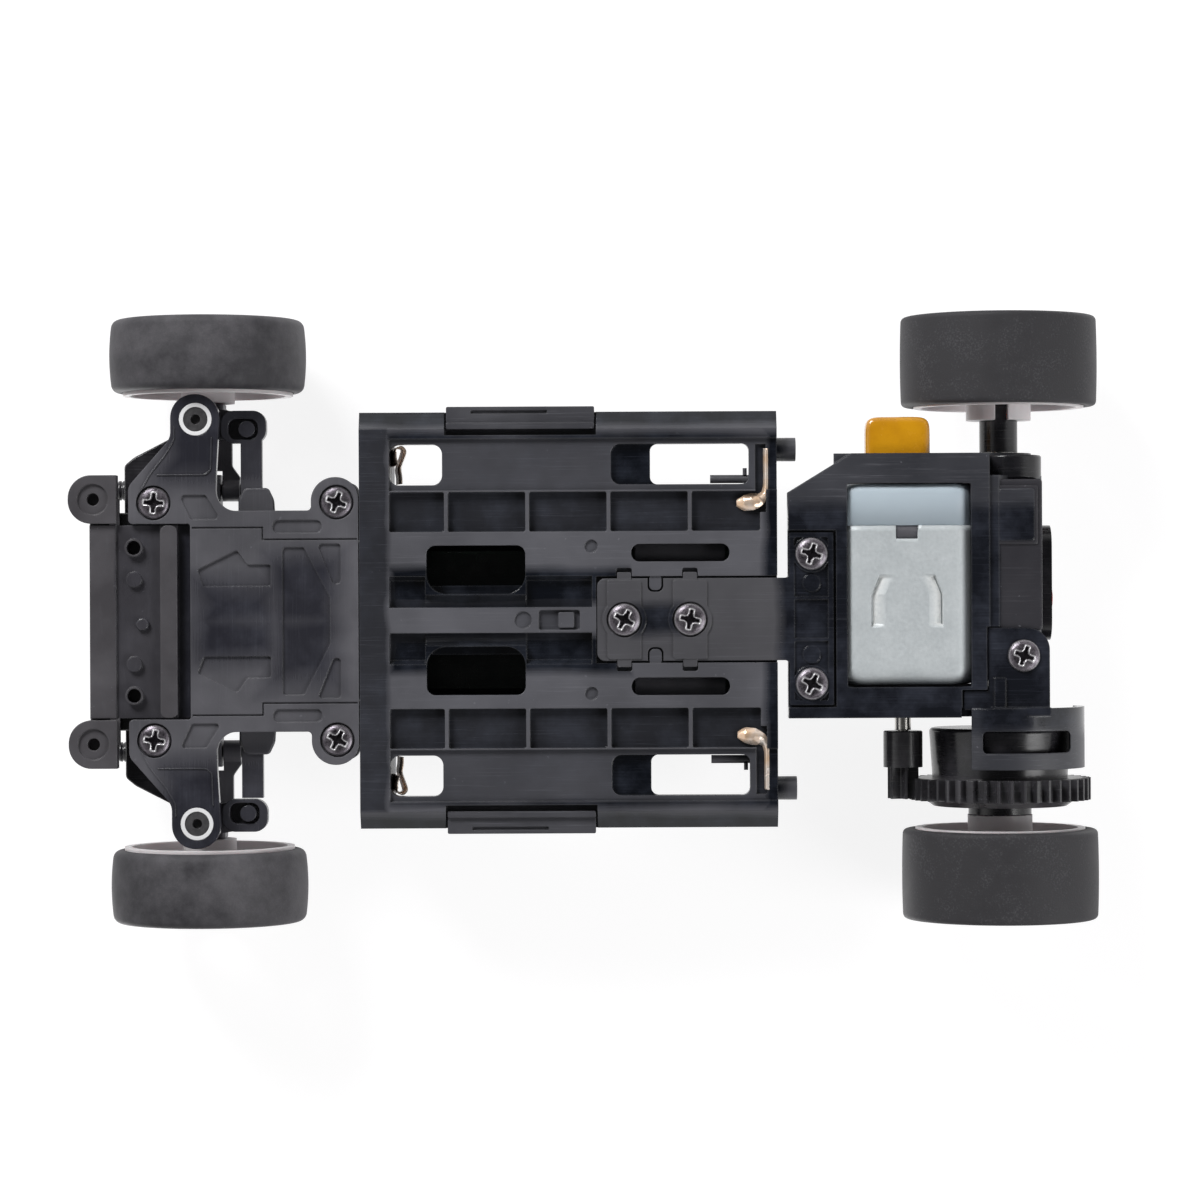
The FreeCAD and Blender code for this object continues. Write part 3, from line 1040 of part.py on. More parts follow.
def make_board():
    """The control board on top of the spine, under a cover that spans from the front rim to the rear wall."""
    top = "floor_top + tub_height"
    board = piece("circuit_board", "tub_front")
    pad(board, "XY", f"{top} + 0.02", f"{top} + 1.02",
        box("5.0 - tub_length", "-front_rim - 1.0", "-8.6", "8.6", "0.8"))
    for across, along, tall in (("-3.2", "-14.0", "1.6"), ("3.4", "-20.0", "1.1"), ("-2.8", "-30.0", "2.2"),
                                ("4.0", "-34.0", "1.4")):
        pad(board, "XY", f"{top} + 0.9", f"{top} + 1.0 + {tall}",
            box(f"{along} - 3.0", f"{along} + 3.0", f"{across} - 2.2", f"{across} + 2.2"))
    cover = piece("board_cover", "tub_front")
    pad(cover, "XY", f"{top} + 0.01", f"{top} + 4.6", box("0.2 - tub_length", "-1.5", "-10.2", "10.2", "1.2"))
    cut(cover, "XY", f"{top} - 0.1", f"{top} + 3.7",
        box("1.3 - tub_length", "-front_rim + 0.9", "-9.3", "9.3", "0.6"))


def make_latch():
    """A flat latch let into the tub's lower edge, with a raised lip and a long groove."""
    latch = piece("side_latch_left", "tub_front", "tub_width / 2")
    low = "belly + 0.75"
    pad(latch, "XY", low, "belly + 1.85", box("-latch_rear", "-latch_front", "-latch_depth", "0.65", "0.2"))
    pad(latch, "XY", f"{low} - 0.45", f"{low} + 0.1",
        box("-latch_rear", "-latch_front", "-latch_depth", "0.75 - latch_depth", "0.2"))
    cut(latch, "XY", f"{low} - 0.1", f"{low} + 0.3", box("-22.9", "-13.6", "-0.2", "0.2", "0.1"))
    return latch


fill_sheets()
for end, width, hub, reach, x in (
        ("front", "front_tyre_width", "front_hub_radius", "front_hub_reach", "front_x"),
        ("rear", "rear_tyre_width", "rear_hub_radius", "rear_hub_reach", "rear_x")):
    reflected(make_tyre(f"{end}_tyre_left", width, x), f"{end}_tyre_right")
    rim = make_rim(f"{end}_rim_left", width, hub, reach, x, "axle_radius + axle_gap")
    reflected(rim, f"{end}_rim_right")
    if end == "rear":
        slot_hub(rim)
    reflected(make_nut(f"{end}_wheel_nut_left", x), f"{end}_wheel_nut_right")
make_chassis()
make_front_plate()
make_bumper()
make_hinge_pin()
for maker in (make_front_corner, make_knuckle, make_upper_arm, make_spring):
    left = maker()
    reflected(left, left.Label.replace("left", "right"))
make_tie_rod()
make_servo()
cut_pod(make_pod())
make_gear_guard()
make_spur()
make_pinion()
make_motor()
make_flex_plate()
make_screws()
make_axle()
make_rear_bearings()
make_rear_plate()
make_contacts()
make_board()
latch = make_latch()
reflected(latch, "side_latch_right")

doc.recompute()
for thing in doc.Objects:
    if "Invalid" in thing.State or "Error" in thing.State:
        raise RuntimeError(f"{thing.Label} failed: {thing.State}")
for pocket in pockets:
    if pocket.Shape.Volume > pocket.BaseFeature.Shape.Volume - 1e-6:
        raise RuntimeError(f"a pocket in {pocket.getParentGeoFeatureGroup().Label} removes nothing")
os.makedirs("parts", exist_ok=True)
for thing in nodes:
    shape = thing.Shape
    if shape.isNull() or not shape.isValid() or not shape.Solids:
        raise RuntimeError(f"{thing.Label} has no valid solid")
    shape.exportStep(f"parts/{thing.Label}.step")
    print(f"{thing.Label}: {len(shape.Solids)} solids, {shape.Volume:.1f} mm3")
print(f"{len(nodes)} nodes")
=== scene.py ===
import bmesh
import bpy
import json
import math
import numpy as np
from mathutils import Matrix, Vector


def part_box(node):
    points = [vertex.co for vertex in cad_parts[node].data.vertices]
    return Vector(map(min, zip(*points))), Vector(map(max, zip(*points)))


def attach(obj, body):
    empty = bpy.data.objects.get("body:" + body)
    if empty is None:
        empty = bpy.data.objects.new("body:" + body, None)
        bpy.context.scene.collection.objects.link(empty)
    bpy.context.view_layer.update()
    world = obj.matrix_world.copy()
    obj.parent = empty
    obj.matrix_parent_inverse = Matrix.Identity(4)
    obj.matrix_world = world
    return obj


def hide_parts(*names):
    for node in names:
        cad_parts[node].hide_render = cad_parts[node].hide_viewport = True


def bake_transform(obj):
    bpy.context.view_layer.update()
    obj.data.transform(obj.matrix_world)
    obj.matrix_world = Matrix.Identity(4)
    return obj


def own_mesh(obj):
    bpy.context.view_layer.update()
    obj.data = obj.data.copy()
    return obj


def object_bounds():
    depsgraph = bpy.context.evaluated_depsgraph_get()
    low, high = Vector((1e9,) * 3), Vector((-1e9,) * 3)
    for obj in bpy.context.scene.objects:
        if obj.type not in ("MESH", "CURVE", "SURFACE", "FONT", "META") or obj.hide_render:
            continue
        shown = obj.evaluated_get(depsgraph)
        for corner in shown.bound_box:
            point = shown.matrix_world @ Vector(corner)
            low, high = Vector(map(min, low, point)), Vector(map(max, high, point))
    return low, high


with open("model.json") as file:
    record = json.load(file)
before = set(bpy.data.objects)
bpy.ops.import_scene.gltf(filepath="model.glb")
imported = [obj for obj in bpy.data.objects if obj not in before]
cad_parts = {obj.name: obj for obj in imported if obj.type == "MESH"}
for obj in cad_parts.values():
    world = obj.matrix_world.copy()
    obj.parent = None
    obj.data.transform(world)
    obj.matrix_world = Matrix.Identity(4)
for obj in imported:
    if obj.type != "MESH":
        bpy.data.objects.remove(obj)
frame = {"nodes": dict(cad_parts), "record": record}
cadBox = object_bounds()
nodes = frame["nodes"]
print("frame loaded")


def newObject(name, data):
    made = bpy.data.objects.new(name, data)
    bpy.context.collection.objects.link(made)
    return made


def newNode(tree, kind):
    return tree.nodes.new("ShaderNode" + kind)


def fill(node, values):
    for socket, value in values.items():
        node.inputs[socket].default_value = value


# a new node material, its shader and the object's own coordinates
def newMaterial(name):
    material = bpy.data.materials.new(name)
    material.use_nodes = True
    tree = material.node_tree
    coords = newNode(tree, "TexCoord")
    return material, tree, tree.nodes["Principled BSDF"], coords.outputs["Object"]


def stretched(tree, coords, scale):
    mapping = newNode(tree, "Mapping")
    fill(mapping, {"Scale": scale})
    tree.links.new(coords, mapping.inputs["Vector"])
    return mapping.outputs["Vector"]


def noise(tree, coords, scale, detail=3.0, rough=0.55):
    texture = newNode(tree, "TexNoise")
    fill(texture, {"Scale": scale, "Detail": detail, "Roughness": rough})
    tree.links.new(coords, texture.inputs["Vector"])
    return texture.outputs["Fac"]


def ramp(tree, value, low, high, start=0.0, end=1.0):
    curve = newNode(tree, "MapRange")
    fill(curve, {"From Min": low, "From Max": high, "To Min": start, "To Max": end})
    tree.links.new(value, curve.inputs["Value"])
    return curve.outputs["Result"]


def blended(tree, factor, first, second):
    mix = newNode(tree, "Mix")
    mix.data_type = "RGBA"
    tree.links.new(factor, mix.inputs["Factor"])
    for socket, colour in zip((s for s in mix.inputs if s.type == "RGBA"), (first, second)):
        if isinstance(colour, tuple):
            socket.default_value = (*colour, 1.0)
        else:
            tree.links.new(colour, socket)
    return next(s for s in mix.outputs if s.type == "RGBA")


def combined(tree, kind, first, second):
    node = newNode(tree, "Math")
    node.operation = kind
    for socket, value in zip(node.inputs, (first, second)):
        if isinstance(value, (int, float)):
            socket.default_value = value
        else:
            tree.links.new(value, socket)
    return node.outputs["Value"]


def product(tree, first, second):
    return combined(tree, "MULTIPLY", first, second)


# from where to where a noise is spread over the two ends of a look
noiseSpan = (0.3, 0.7)


# the shader's colour between the look's two tones
def toned(tree, shader, noisy, look, span=noiseSpan):
    tree.links.new(blended(tree, ramp(tree, noisy, *span), look["dark"], look["light"]), shader.inputs["Base Color"])


def roughened(tree, shader, noisy, look):
    tree.links.new(ramp(tree, noisy, *noiseSpan, *look["rough"]), shader.inputs["Roughness"])


# one where a ray comes straight from the camera, off a gloss or through something clear
def seenRay(tree):
    path = newNode(tree, "LightPath")
    seen = combined(tree, "MAXIMUM", path.outputs["Is Camera Ray"], path.outputs["Is Glossy Ray"])
    return path, combined(tree, "MAXIMUM", seen, path.outputs["Is Transmission Ray"])


# a bump on the shading normal, over normals that are rounded at the edges when softEdge is set
def bumped(tree, shader, height, strength, softEdge=0.0, depth=0.00004):
    bump = newNode(tree, "Bump")
    fill(bump, {"Strength": strength, "Distance": depth})
    tree.links.new(height, bump.inputs["Height"])
    if softEdge:
        bevel = newNode(tree, "Bevel")
        bevel.samples = 4
        fill(bevel, {"Radius": softEdge})
        tree.links.new(bevel.outputs["Normal"], bump.inputs["Normal"])
    tree.links.new(bump.outputs["Normal"], shader.inputs["Normal"])


boxEdge = {"stretch": (0.35, 1.0, 1.0), "scale": 240.0}


# How far inside any of the given boxes a point lies, from 0 to 1. The boxes are in millimetres, the same on the
# left and the right, and their edges are soft and wander with a noise.
def insideBoxes(tree, coords, boxes, soft, wander):
    parts = newNode(tree, "SeparateXYZ")
    folded = newNode(tree, "CombineXYZ")
    tree.links.new(coords, parts.inputs["Vector"])
    tree.links.new(parts.outputs["X"], folded.inputs["X"])
    tree.links.new(combined(tree, "ABSOLUTE", parts.outputs["Y"], 0.0), folded.inputs["Y"])
    tree.links.new(parts.outputs["Z"], folded.inputs["Z"])
    waves = noise(tree, stretched(tree, coords, boxEdge["stretch"]), boxEdge["scale"], 1.0)
    shift = product(tree, combined(tree, "SUBTRACT", waves, 0.5), wander)
    total = None
    for box in boxes:
        low = np.array(box[0::2]) * 0.001
        high = np.array(box[1::2]) * 0.001
        away = folded.outputs["Vector"]
        for operation, value in (("SUBTRACT", (low + high) / 2), ("ABSOLUTE", None), ("SUBTRACT", (high - low) / 2)):
            step = newNode(tree, "VectorMath")
            step.operation = operation
            tree.links.new(away, step.inputs[0])
            if value is not None:
                step.inputs[1].default_value = tuple(value)
            away = step.outputs["Vector"]
        axes = newNode(tree, "SeparateXYZ")
        tree.links.new(away, axes.inputs["Vector"])
        flat = combined(tree, "MAXIMUM", axes.outputs["X"], axes.outputs["Y"])
        reach = combined(tree, "MAXIMUM", combined(tree, "ADD", flat, shift), axes.outputs["Z"])
        share = ramp(tree, reach, soft, -soft)
        total = share if total is None else combined(tree, "MAXIMUM", total, share)
    return total


plasticMarks = {"cloud": (0.35, 0.7), "brushScale": 15.0, "scratch": (0.56, 0.74), "speckScale": 1700.0,
                "speck": (0.76, 0.80), "smudgeScale": 210.0, "smudge": (0.42, 0.68), "smudgeLeast": 0.35,
                "scratchHaze": 0.5, "gleam": (0.4, 0.7), "scratchSink": -0.3, "polishFlat": 0.8}


# Moulded plastic with two finishes on one piece. The satin one is brushed with fine scratches and has a grain; the
# polished one is nearly black and mirrors the room. The boxes say where it is polished; where a box covers
# recesses or a groove, its near black is also painted shade there.
def mouldedPlastic(name, look):
    material, tree, shader, coords = newMaterial(name)
    clouds = noise(tree, coords, look["cloudScale"], 4.0)
    grain = noise(tree, coords, look["grainScale"], 2.0)
    brushed = noise(tree, stretched(tree, coords, look["scratchStretch"]), plasticMarks["brushScale"], 4.0, 0.75)
    scratch = ramp(tree, brushed, *plasticMarks["scratch"])
    specks = ramp(tree, noise(tree, coords, plasticMarks["speckScale"], 1.0), *plasticMarks["speck"])
    satin = blended(tree, ramp(tree, clouds, *plasticMarks["cloud"]), look["dark"], look["light"])
    marks = combined(tree, "MAXIMUM", product(tree, scratch, look["scratchShow"]),
                     product(tree, specks, look["speckShow"]))
    satin = blended(tree, marks, satin, look["markTone"])
    patches = ramp(tree, noise(tree, coords, plasticMarks["smudgeScale"], 5.0, 0.6), *plasticMarks["smudge"])
    smudge = product(tree, patches, ramp(tree, brushed, *noiseSpan, plasticMarks["smudgeLeast"], 1.0))
    hazy = combined(tree, "MAXIMUM", smudge, product(tree, scratch, plasticMarks["scratchHaze"]))
    gloss = blended(tree, hazy, look["polished"], look["haze"])
    polishAndShade = insideBoxes(tree, coords, look["boxes"], look["soft"], look["wander"])
    tree.links.new(blended(tree, polishAndShade, satin, gloss), shader.inputs["Base Color"])
    sheen = ramp(tree, clouds, *noiseSpan, *look["rough"])
    gleam = ramp(tree, brushed, *plasticMarks["gleam"], *look["polishedRough"])
    satinShare = product(tree, sheen, combined(tree, "SUBTRACT", 1.0, polishAndShade))
    tree.links.new(combined(tree, "ADD", satinShare, product(tree, gleam, polishAndShade)),
                   shader.inputs["Roughness"])
    fill(shader, {"IOR": look["ior"]})
    depth = combined(tree, "SUBTRACT", 1.0, product(tree, polishAndShade, plasticMarks["polishFlat"]))
    height = combined(tree, "ADD", product(tree, grain, look["grainDepth"]),
                      product(tree, scratch, plasticMarks["scratchSink"]))
    bumped(tree, shader, product(tree, height, depth), look["bump"], look["softEdge"])
    return material


# boxes for a piece with no polished place and for one that is polished all over
nowhere = [(-1, 1, -2, -1, -2, -1)]
everywhere = [(-90, 90, -1, 60, -10, 60)]
tubLook = {"cloudScale": 90.0, "grainScale": 5200.0, "scratchStretch": (7.0, 330.0, 60.0), "ior": 1.47,
           "dark": (0.072, 0.072, 0.082), "light": (0.098, 0.098, 0.112), "markTone": (0.17, 0.172, 0.195),
           "scratchShow": 0.40, "speckShow": 0.5, "rough": (0.36, 0.5), "polished": (0.003, 0.004, 0.007),
           "haze": (0.026, 0.030, 0.042), "polishedRough": (0.13, 0.24), "grainDepth": 0.4, "bump": 0.3,
           "softEdge": 0.0002, "soft": 0.0006, "wander": 0.0012,
           # the second box, everything deeper than 3.45 mm, makes the pockets and recesses polished and near black:
           # a polished finish there, and painted shade in the recesses
           "boxes": [(24.4, 29, -1, 23.4, 0, 3.05), (-24, 24.3, -1, 23, 3.45, 8), (-24, 24.3, 21.9, 22.7, 0, 6),
                     (-24, -21.6, -1, 23, 0, 8), (-5, 24, 2.0, 6.4, 0, 8), (-30, 30, 23.6, 30, 2.6, 8)]}
podLook = {**tubLook, "boxes": [(-90, 90, -1, 13.7, -10, 60)], "dark": (0.024, 0.025, 0.031),
           "light": (0.040, 0.041, 0.050), "polished": (0.007, 0.008, 0.012), "haze": (0.038, 0.042, 0.057),
           "polishedRough": (0.1, 0.22), "soft": 0.0010, "wander": 0.0016, "softEdge": 0.00028}
coverLook = {**podLook, "boxes": nowhere, "dark": (0.022, 0.021, 0.026), "light": (0.029, 0.028, 0.034),
             "scratchShow": 0.15, "softEdge": 0.0004}
stemLook = {**podLook, "boxes": [(-10.9, -6.0, -1, 1.6, 0, 8), (-31.0, -23.4, -1, 12, 0, 9)], "wander": 0.002,
            "soft": 0.0008, "softEdge": 0.0002, "scratchShow": 0.25, "dark": (0.063, 0.062, 0.069),
            "light": (0.074, 0.073, 0.081)}
armLook = {**tubLook, "cloudScale": 110.0, "grainScale": 6500.0, "scratchStretch": (330.0, 7.0, 60.0),
           "dark": (0.070, 0.069, 0.078), "light": (0.105, 0.103, 0.116), "markTone": (0.14, 0.14, 0.16),
           "scratchShow": 0.30, "grainDepth": 0.7, "bump": 0.4, "soft": 0.0021, "wander": 0.0030,
           "polished": (0.020, 0.020, 0.027), "haze": (0.046, 0.047, 0.060),
           "boxes": [(30.5, 38.6, -1, 7.6, 0, 5), (37.5, 47.5, -1, 4.8, 0, 5), (38.0, 52.0, 17.0, 32.0, 0, 7)]}
noseLook = {**armLook, "scratchStretch": (60.0, 8.0, 60.0), "dark": (0.050, 0.047, 0.052),
            "light": (0.080, 0.076, 0.084), "scratchShow": 0.12, "soft": 0.0003, "wander": 0.0006,
            # the second box makes the groove behind the raised band polished and dark: painted shade in the groove
            # as well as its gloss
            "boxes": [(51.9, 57.3, -1, 11.7, 3.2, 3.75), (47.0, 49.9, -1, 11.8, 3.2, 5)]}
latchLook = {**tubLook, "dark": (0.038, 0.038, 0.045), "light": (0.064, 0.064, 0.073), "boxes": nowhere}
gearLook = {**podLook, "boxes": everywhere, "cloudScale": 140.0, "polished": (0.009, 0.009, 0.011),
            "haze": (0.044, 0.042, 0.048), "polishedRough": (0.16, 0.3), "softEdge": 0.00012}
pinionLook = {**gearLook, "polished": (0.036, 0.035, 0.039), "haze": (0.100, 0.097, 0.106)}
spurLook = {**gearLook, "boxes": [(-90, 90, -1, 19.4, -10, 60)], "dark": (0.026, 0.025, 0.028),
            "light": (0.052, 0.050, 0.056), "soft": 0.0003, "wander": 0.0, "rough": (0.24, 0.36)}
bellLook = {**tubLook, "dark": (0.44, 0.515, 0.575), "light": (0.48, 0.56, 0.62), "markTone": (0.54, 0.59, 0.63),
            "scratchShow": 0.1, "speckShow": 0.1, "rough": (0.40, 0.5), "bump": 0.2, "softEdge": 0.0005,
            "boxes": nowhere}
whiteGearLook = {**bellLook, "dark": (0.70, 0.70, 0.66), "light": (0.78, 0.78, 0.75), "softEdge": 0.0001}
ringLook = {**bellLook, "dark": (0.78, 0.78, 0.79), "light": (0.86, 0.86, 0.87), "rough": (0.16, 0.26),
            "softEdge": 0.0001}
adjusterLook = {**gearLook, "polished": (0.55, 0.025, 0.015), "haze": (0.70, 0.05, 0.03)}


# hard tyre compound: a grey bloom, dusty patches and a faint grain that runs round the tread
def tyreRubber(name, look):
    material, tree, shader, coords = newMaterial(name)
    dust = noise(tree, coords, look["dustScale"], 6.0, 0.65)
    speck = noise(tree, coords, look["speckScale"], 2.0)
    lines = noise(tree, stretched(tree, coords, look["lineStretch"]), look["lineScale"], 2.0)
    bloom = blended(tree, ramp(tree, dust, *look["bloomSpan"]), look["dark"], look["light"])
    dusty = ramp(tree, product(tree, speck, dust), *look["dustSpan"], 0.0, look["dustShow"])
    tree.links.new(blended(tree, dusty, bloom, look["dust"]), shader.inputs["Base Color"])
    roughened(tree, shader, dust, look)
    fill(shader, {"Specular IOR Level": look["specular"]})
    height = combined(tree, "ADD", speck, product(tree, lines, look["lineDepth"]))
    bumped(tree, shader, height, look["bump"])
    return material


rearTyreLook = {"dustScale": 260.0, "speckScale": 4200.0, "lineStretch": (25.0, 900.0, 25.0), "lineScale": 1.6,
                "bloomSpan": (0.36, 0.72), "dustSpan": (0.27, 0.42), "dark": (0.024, 0.023, 0.026),
                "light": (0.034, 0.033, 0.037), "dust": (0.10, 0.10, 0.105), "dustShow": 0.35,
                "rough": (0.60, 0.80), "specular": 0.35, "lineDepth": 0.8, "bump": 0.4}
frontTyreLook = {**rearTyreLook, "dustScale": 130.0, "dark": (0.024, 0.023, 0.027), "light": (0.105, 0.101, 0.110)}


# milky nylon that lets a little light in, with faint flow marks
def nylon(name, look):
    material, tree, shader, coords = newMaterial(name)
    clouds = noise(tree, coords, look["cloudScale"], 4.0)
    toned(tree, shader, clouds, look)
    roughened(tree, shader, clouds, look)
    fill(shader, {"Subsurface Weight": look["milk"], "Subsurface Radius": look["milkReach"],
                  "Subsurface Scale": 1.0})
    bumped(tree, shader, noise(tree, coords, look["grainScale"], 2.0), look["bump"], look["softEdge"])
    return material


rimLook = {"cloudScale": 110.0, "dark": (0.56, 0.525, 0.535), "light": (0.66, 0.63, 0.64), "rough": (0.34, 0.5),
           "milk": 0.3, "milkReach": (0.0016, 0.0012, 0.0012), "grainScale": 2600.0, "bump": 0.2,
           "softEdge": 0.0002}


# plated or blackened steel: mottled tone over fine crystals, with grain in the bump
def platedSteel(name, look):
    material, tree, shader, coords = newMaterial(name)
    clouds = noise(tree, coords, look["cloudScale"], 5.0, 0.6)
    crystals = noise(tree, coords, look["crystalScale"], 2.0, 0.5)
    grain = noise(tree, stretched(tree, coords, look["grainStretch"]), look["grainScale"], 2.0)
    mottle = combined(tree, "ADD", product(tree, clouds, look["cloudShare"]),
                      product(tree, crystals, look["crystalShare"]))
    toned(tree, shader, mottle, look, look["toneSpan"])
    fill(shader, {"Metallic": look["metallic"]})
    roughened(tree, shader, crystals, look)
    height = combined(tree, "ADD", grain, product(tree, crystals, look["crystalDepth"]))
    bumped(tree, shader, height, look["bump"], look["softEdge"])
    return material


canLook = {"cloudScale": 160.0, "crystalScale": 2300.0, "grainStretch": (1.0, 1.0, 1.0), "grainScale": 5000.0,
           "cloudShare": 0.7, "crystalShare": 0.3, "toneSpan": (0.35, 0.68), "crystalDepth": 0.6,
           "dark": (0.465, 0.50, 0.515), "light": (0.585, 0.62, 0.635), "metallic": 0.15, "rough": (0.40, 0.55),
           "bump": 0.25, "softEdge": 0.0}
screwLook = {**canLook, "cloudScale": 900.0, "crystalScale": 6500.0, "dark": (0.030, 0.026, 0.032),
             "light": (0.21, 0.19, 0.215), "metallic": 0.85, "rough": (0.24, 0.42), "bump": 0.4}
brightLook = {**canLook, "cloudScale": 300.0, "grainStretch": (200.0, 1.0, 200.0), "grainScale": 12.0,
              "dark": (0.52, 0.50, 0.47), "light": (0.68, 0.66, 0.63), "metallic": 1.0, "rough": (0.16, 0.3),
              "bump": 0.15, "softEdge": 0.0001}
pinLook = {**canLook, "cloudScale": 500.0, "dark": (0.048, 0.047, 0.050), "light": (0.085, 0.083, 0.087),
           "metallic": 0.3, "rough": (0.3, 0.44), "softEdge": 0.0001}
contactLook = {**canLook, "cloudScale": 420.0, "crystalScale": 500.0, "grainStretch": (1.0, 60.0, 1.0),
               "grainScale": 40.0, "dark": (0.74, 0.47, 0.27), "light": (0.90, 0.88, 0.86), "metallic": 0.5,
               "rough": (0.16, 0.3), "bump": 0.1}


# noise that breaks up the bright wear and the painted highlight, and the near black of the painted shade in recesses
wearAndPaintedLightLook = {"scale": 2600.0, "span": (0.3, 0.55), "least": 0.45, "paintedRecessShade": (0.006, 0.005, 0.007)}


# the same steel, bright where the piece's mask attribute is above zero, which is wear on the screws and a painted
# highlight in the can's pressed marks, and near black where it is below, which is painted shade on the screws'
# recess floors
def wornSteelWithPaintedLight(name, look, bright, strength):
    material = platedSteel(name, look)
    tree = material.node_tree
    shader = tree.nodes["Principled BSDF"]
    mask = newNode(tree, "Attribute")
    mask.attribute_name = "wearAndPaintedLight"
    coords = tree.nodes["Texture Coordinate"].outputs["Object"]
    broken = ramp(tree, noise(tree, coords, wearAndPaintedLightLook["scale"], 3.0), *wearAndPaintedLightLook["span"],
                  wearAndPaintedLightLook["least"] * strength, strength)
    amount = product(tree, mask.outputs["Fac"], broken)
    base = shader.inputs["Base Color"].links[0].from_socket
    paintedRecessShade = ramp(tree, mask.outputs["Fac"], 0.0, -1.0)
    shown = blended(tree, paintedRecessShade, blended(tree, amount, base, bright), wearAndPaintedLightLook["paintedRecessShade"])
    tree.links.new(shown, shader.inputs["Base Color"])
    return material


# glossy amber dip coating, uneven in thickness
def dippedResin(name, look):
    material, tree, shader, coords = newMaterial(name)
    toned(tree, shader, noise(tree, coords, look["cloudScale"], 4.0), look)
    roughened(tree, shader, noise(tree, coords, look["glossScale"], 2.0), look)
    fill(shader, {"Coat Weight": look["coat"], "Coat Roughness": look["coatRough"]})
    bumped(tree, shader, noise(tree, coords, look["waveScale"], 3.0), look["bump"], 0.0, look["waveDepth"])
    return material


amberLook = {"cloudScale": 220.0, "dark": (0.50, 0.21, 0.004), "light": (0.66, 0.31, 0.006), "glossScale": 900.0,
             "rough": (0.18, 0.3), "coat": 0.4, "coatRough": 0.08, "waveScale": 420.0, "waveDepth": 0.0002,
             "bump": 0.3}


# green laminate with faint tracks under the mask
def boardLaminate(name, look):
    material, tree, shader, coords = newMaterial(name)
    tracks = newNode(tree, "TexBrick")
    fill(tracks, {"Scale": look["trackScale"]})
    tree.links.new(coords, tracks.inputs["Vector"])
    tree.links.new(blended(tree, tracks.outputs["Fac"], look["dark"], look["light"]), shader.inputs["Base Color"])
    roughened(tree, shader, noise(tree, coords, look["glossScale"], 2.0), look)
    bumped(tree, shader, tracks.outputs["Fac"], look["bump"])
    return material


boardLook = {"trackScale": 180.0, "dark": (0.002, 0.007, 0.004), "light": (0.004, 0.014, 0.008),
             "glossScale": 700.0, "rough": (0.25, 0.4), "bump": 0.3}

finishes = {
    "chassis_plastic": mouldedPlastic("tubPlastic", tubLook),
    "arm_plastic": mouldedPlastic("armPlastic", armLook),
    "bumper_plastic": mouldedPlastic("nosePlastic", noseLook),
    "gear_plastic": mouldedPlastic("gearPlastic", gearLook),
    "servo_plastic": mouldedPlastic("servoPlastic", armLook),
    "bell_plastic": mouldedPlastic("endBellPlastic", bellLook),
    "white_gear": mouldedPlastic("whiteGearPlastic", whiteGearLook),
    "ring_plastic": mouldedPlastic("kingpinRingPlastic", ringLook),
    "adjuster_plastic": mouldedPlastic("redAdjusterPlastic", adjusterLook),
    "tyre_rubber": tyreRubber("tyreRubber", rearTyreLook),
    "wheel_plastic": nylon("wheelNylon", rimLook),
    "can_steel": wornSteelWithPaintedLight("motorCanSteel", canLook, (0.86, 0.86, 0.84), 0.7),
    "screw_steel": wornSteelWithPaintedLight("screwSteel", screwLook, (0.80, 0.79, 0.81), 1.0),
    "bright_steel": platedSteel("shaftSteel", brightLook),
    "spring_steel": platedSteel("springSteel", {**brightLook, "metallic": 0.95}),
    "kingpin_steel": platedSteel("kingpinSteel", pinLook),
    "contact_metal": platedSteel("contactMetal", contactLook),
    "amber_plastic": dippedResin("amberResin", amberLook),
    "board_green": boardLaminate("boardLaminate", boardLook),
}
podFinish = mouldedPlastic("podPlastic", podLook)
stemFinish = mouldedPlastic("stemPlastic", stemLook)
latchFinish = mouldedPlastic("latchPlastic", latchLook)
coverFinish = mouldedPlastic("coverPlastic", coverLook)
ownFinish = {"motor_pod": podFinish, "gear_guard": podFinish, "t_plate": stemFinish,
             "side_latch_left": latchFinish, "side_latch_right": latchFinish,
             "pinion_gear": mouldedPlastic("pinionPlastic", pinionLook),
             "spur_gear": mouldedPlastic("spurPlastic", spurLook)}
for part in frame["record"]["subparts"]:
    cadNode = nodes[part["node"]]
    if not cadNode.data.materials:
        cadNode.data.materials.append(None)
    cadNode.material_slots[0].material = ownFinish.get(part["node"], finishes[part["material_slot"]])
print("materials assigned")


weldDistance = 2e-7


# a grid of points, rows by columns, made into quads that close round the columns
def gridPiece(name, points, slotName, body, replaced, wearAndPaintedLight=None, finish=None):
    rows, columns, _ = points.shape
    r = np.arange(rows - 1)[:, None]
    c = np.arange(columns)[None, :]
    n = (c + 1) % columns
    quads = np.stack([r * columns + c, r * columns + n, (r + 1) * columns + n, (r + 1) * columns + c], -1)
    mesh = bpy.data.meshes.new(name)
    mesh.from_pydata(points.reshape(-1, 3).tolist(), [], quads.reshape(-1, 4).tolist())
    mesh.shade_smooth()
    if wearAndPaintedLight is not None:
        mask = mesh.attributes.new("wearAndPaintedLight", "FLOAT", "POINT")
        mask.data.foreach_set("value", wearAndPaintedLight.astype(np.float32).ravel())
    shell = bmesh.new()
    shell.from_mesh(mesh)
    bmesh.ops.remove_doubles(shell, verts=shell.verts, dist=weldDistance)
    bmesh.ops.recalc_face_normals(shell, faces=shell.faces)
    shell.to_mesh(mesh)
    shell.free()
    piece = newObject(name, mesh)
    mesh.materials.append(finish or finishes[slotName])
    if replaced:
        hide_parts(*replaced)
    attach(piece, body)
    return piece


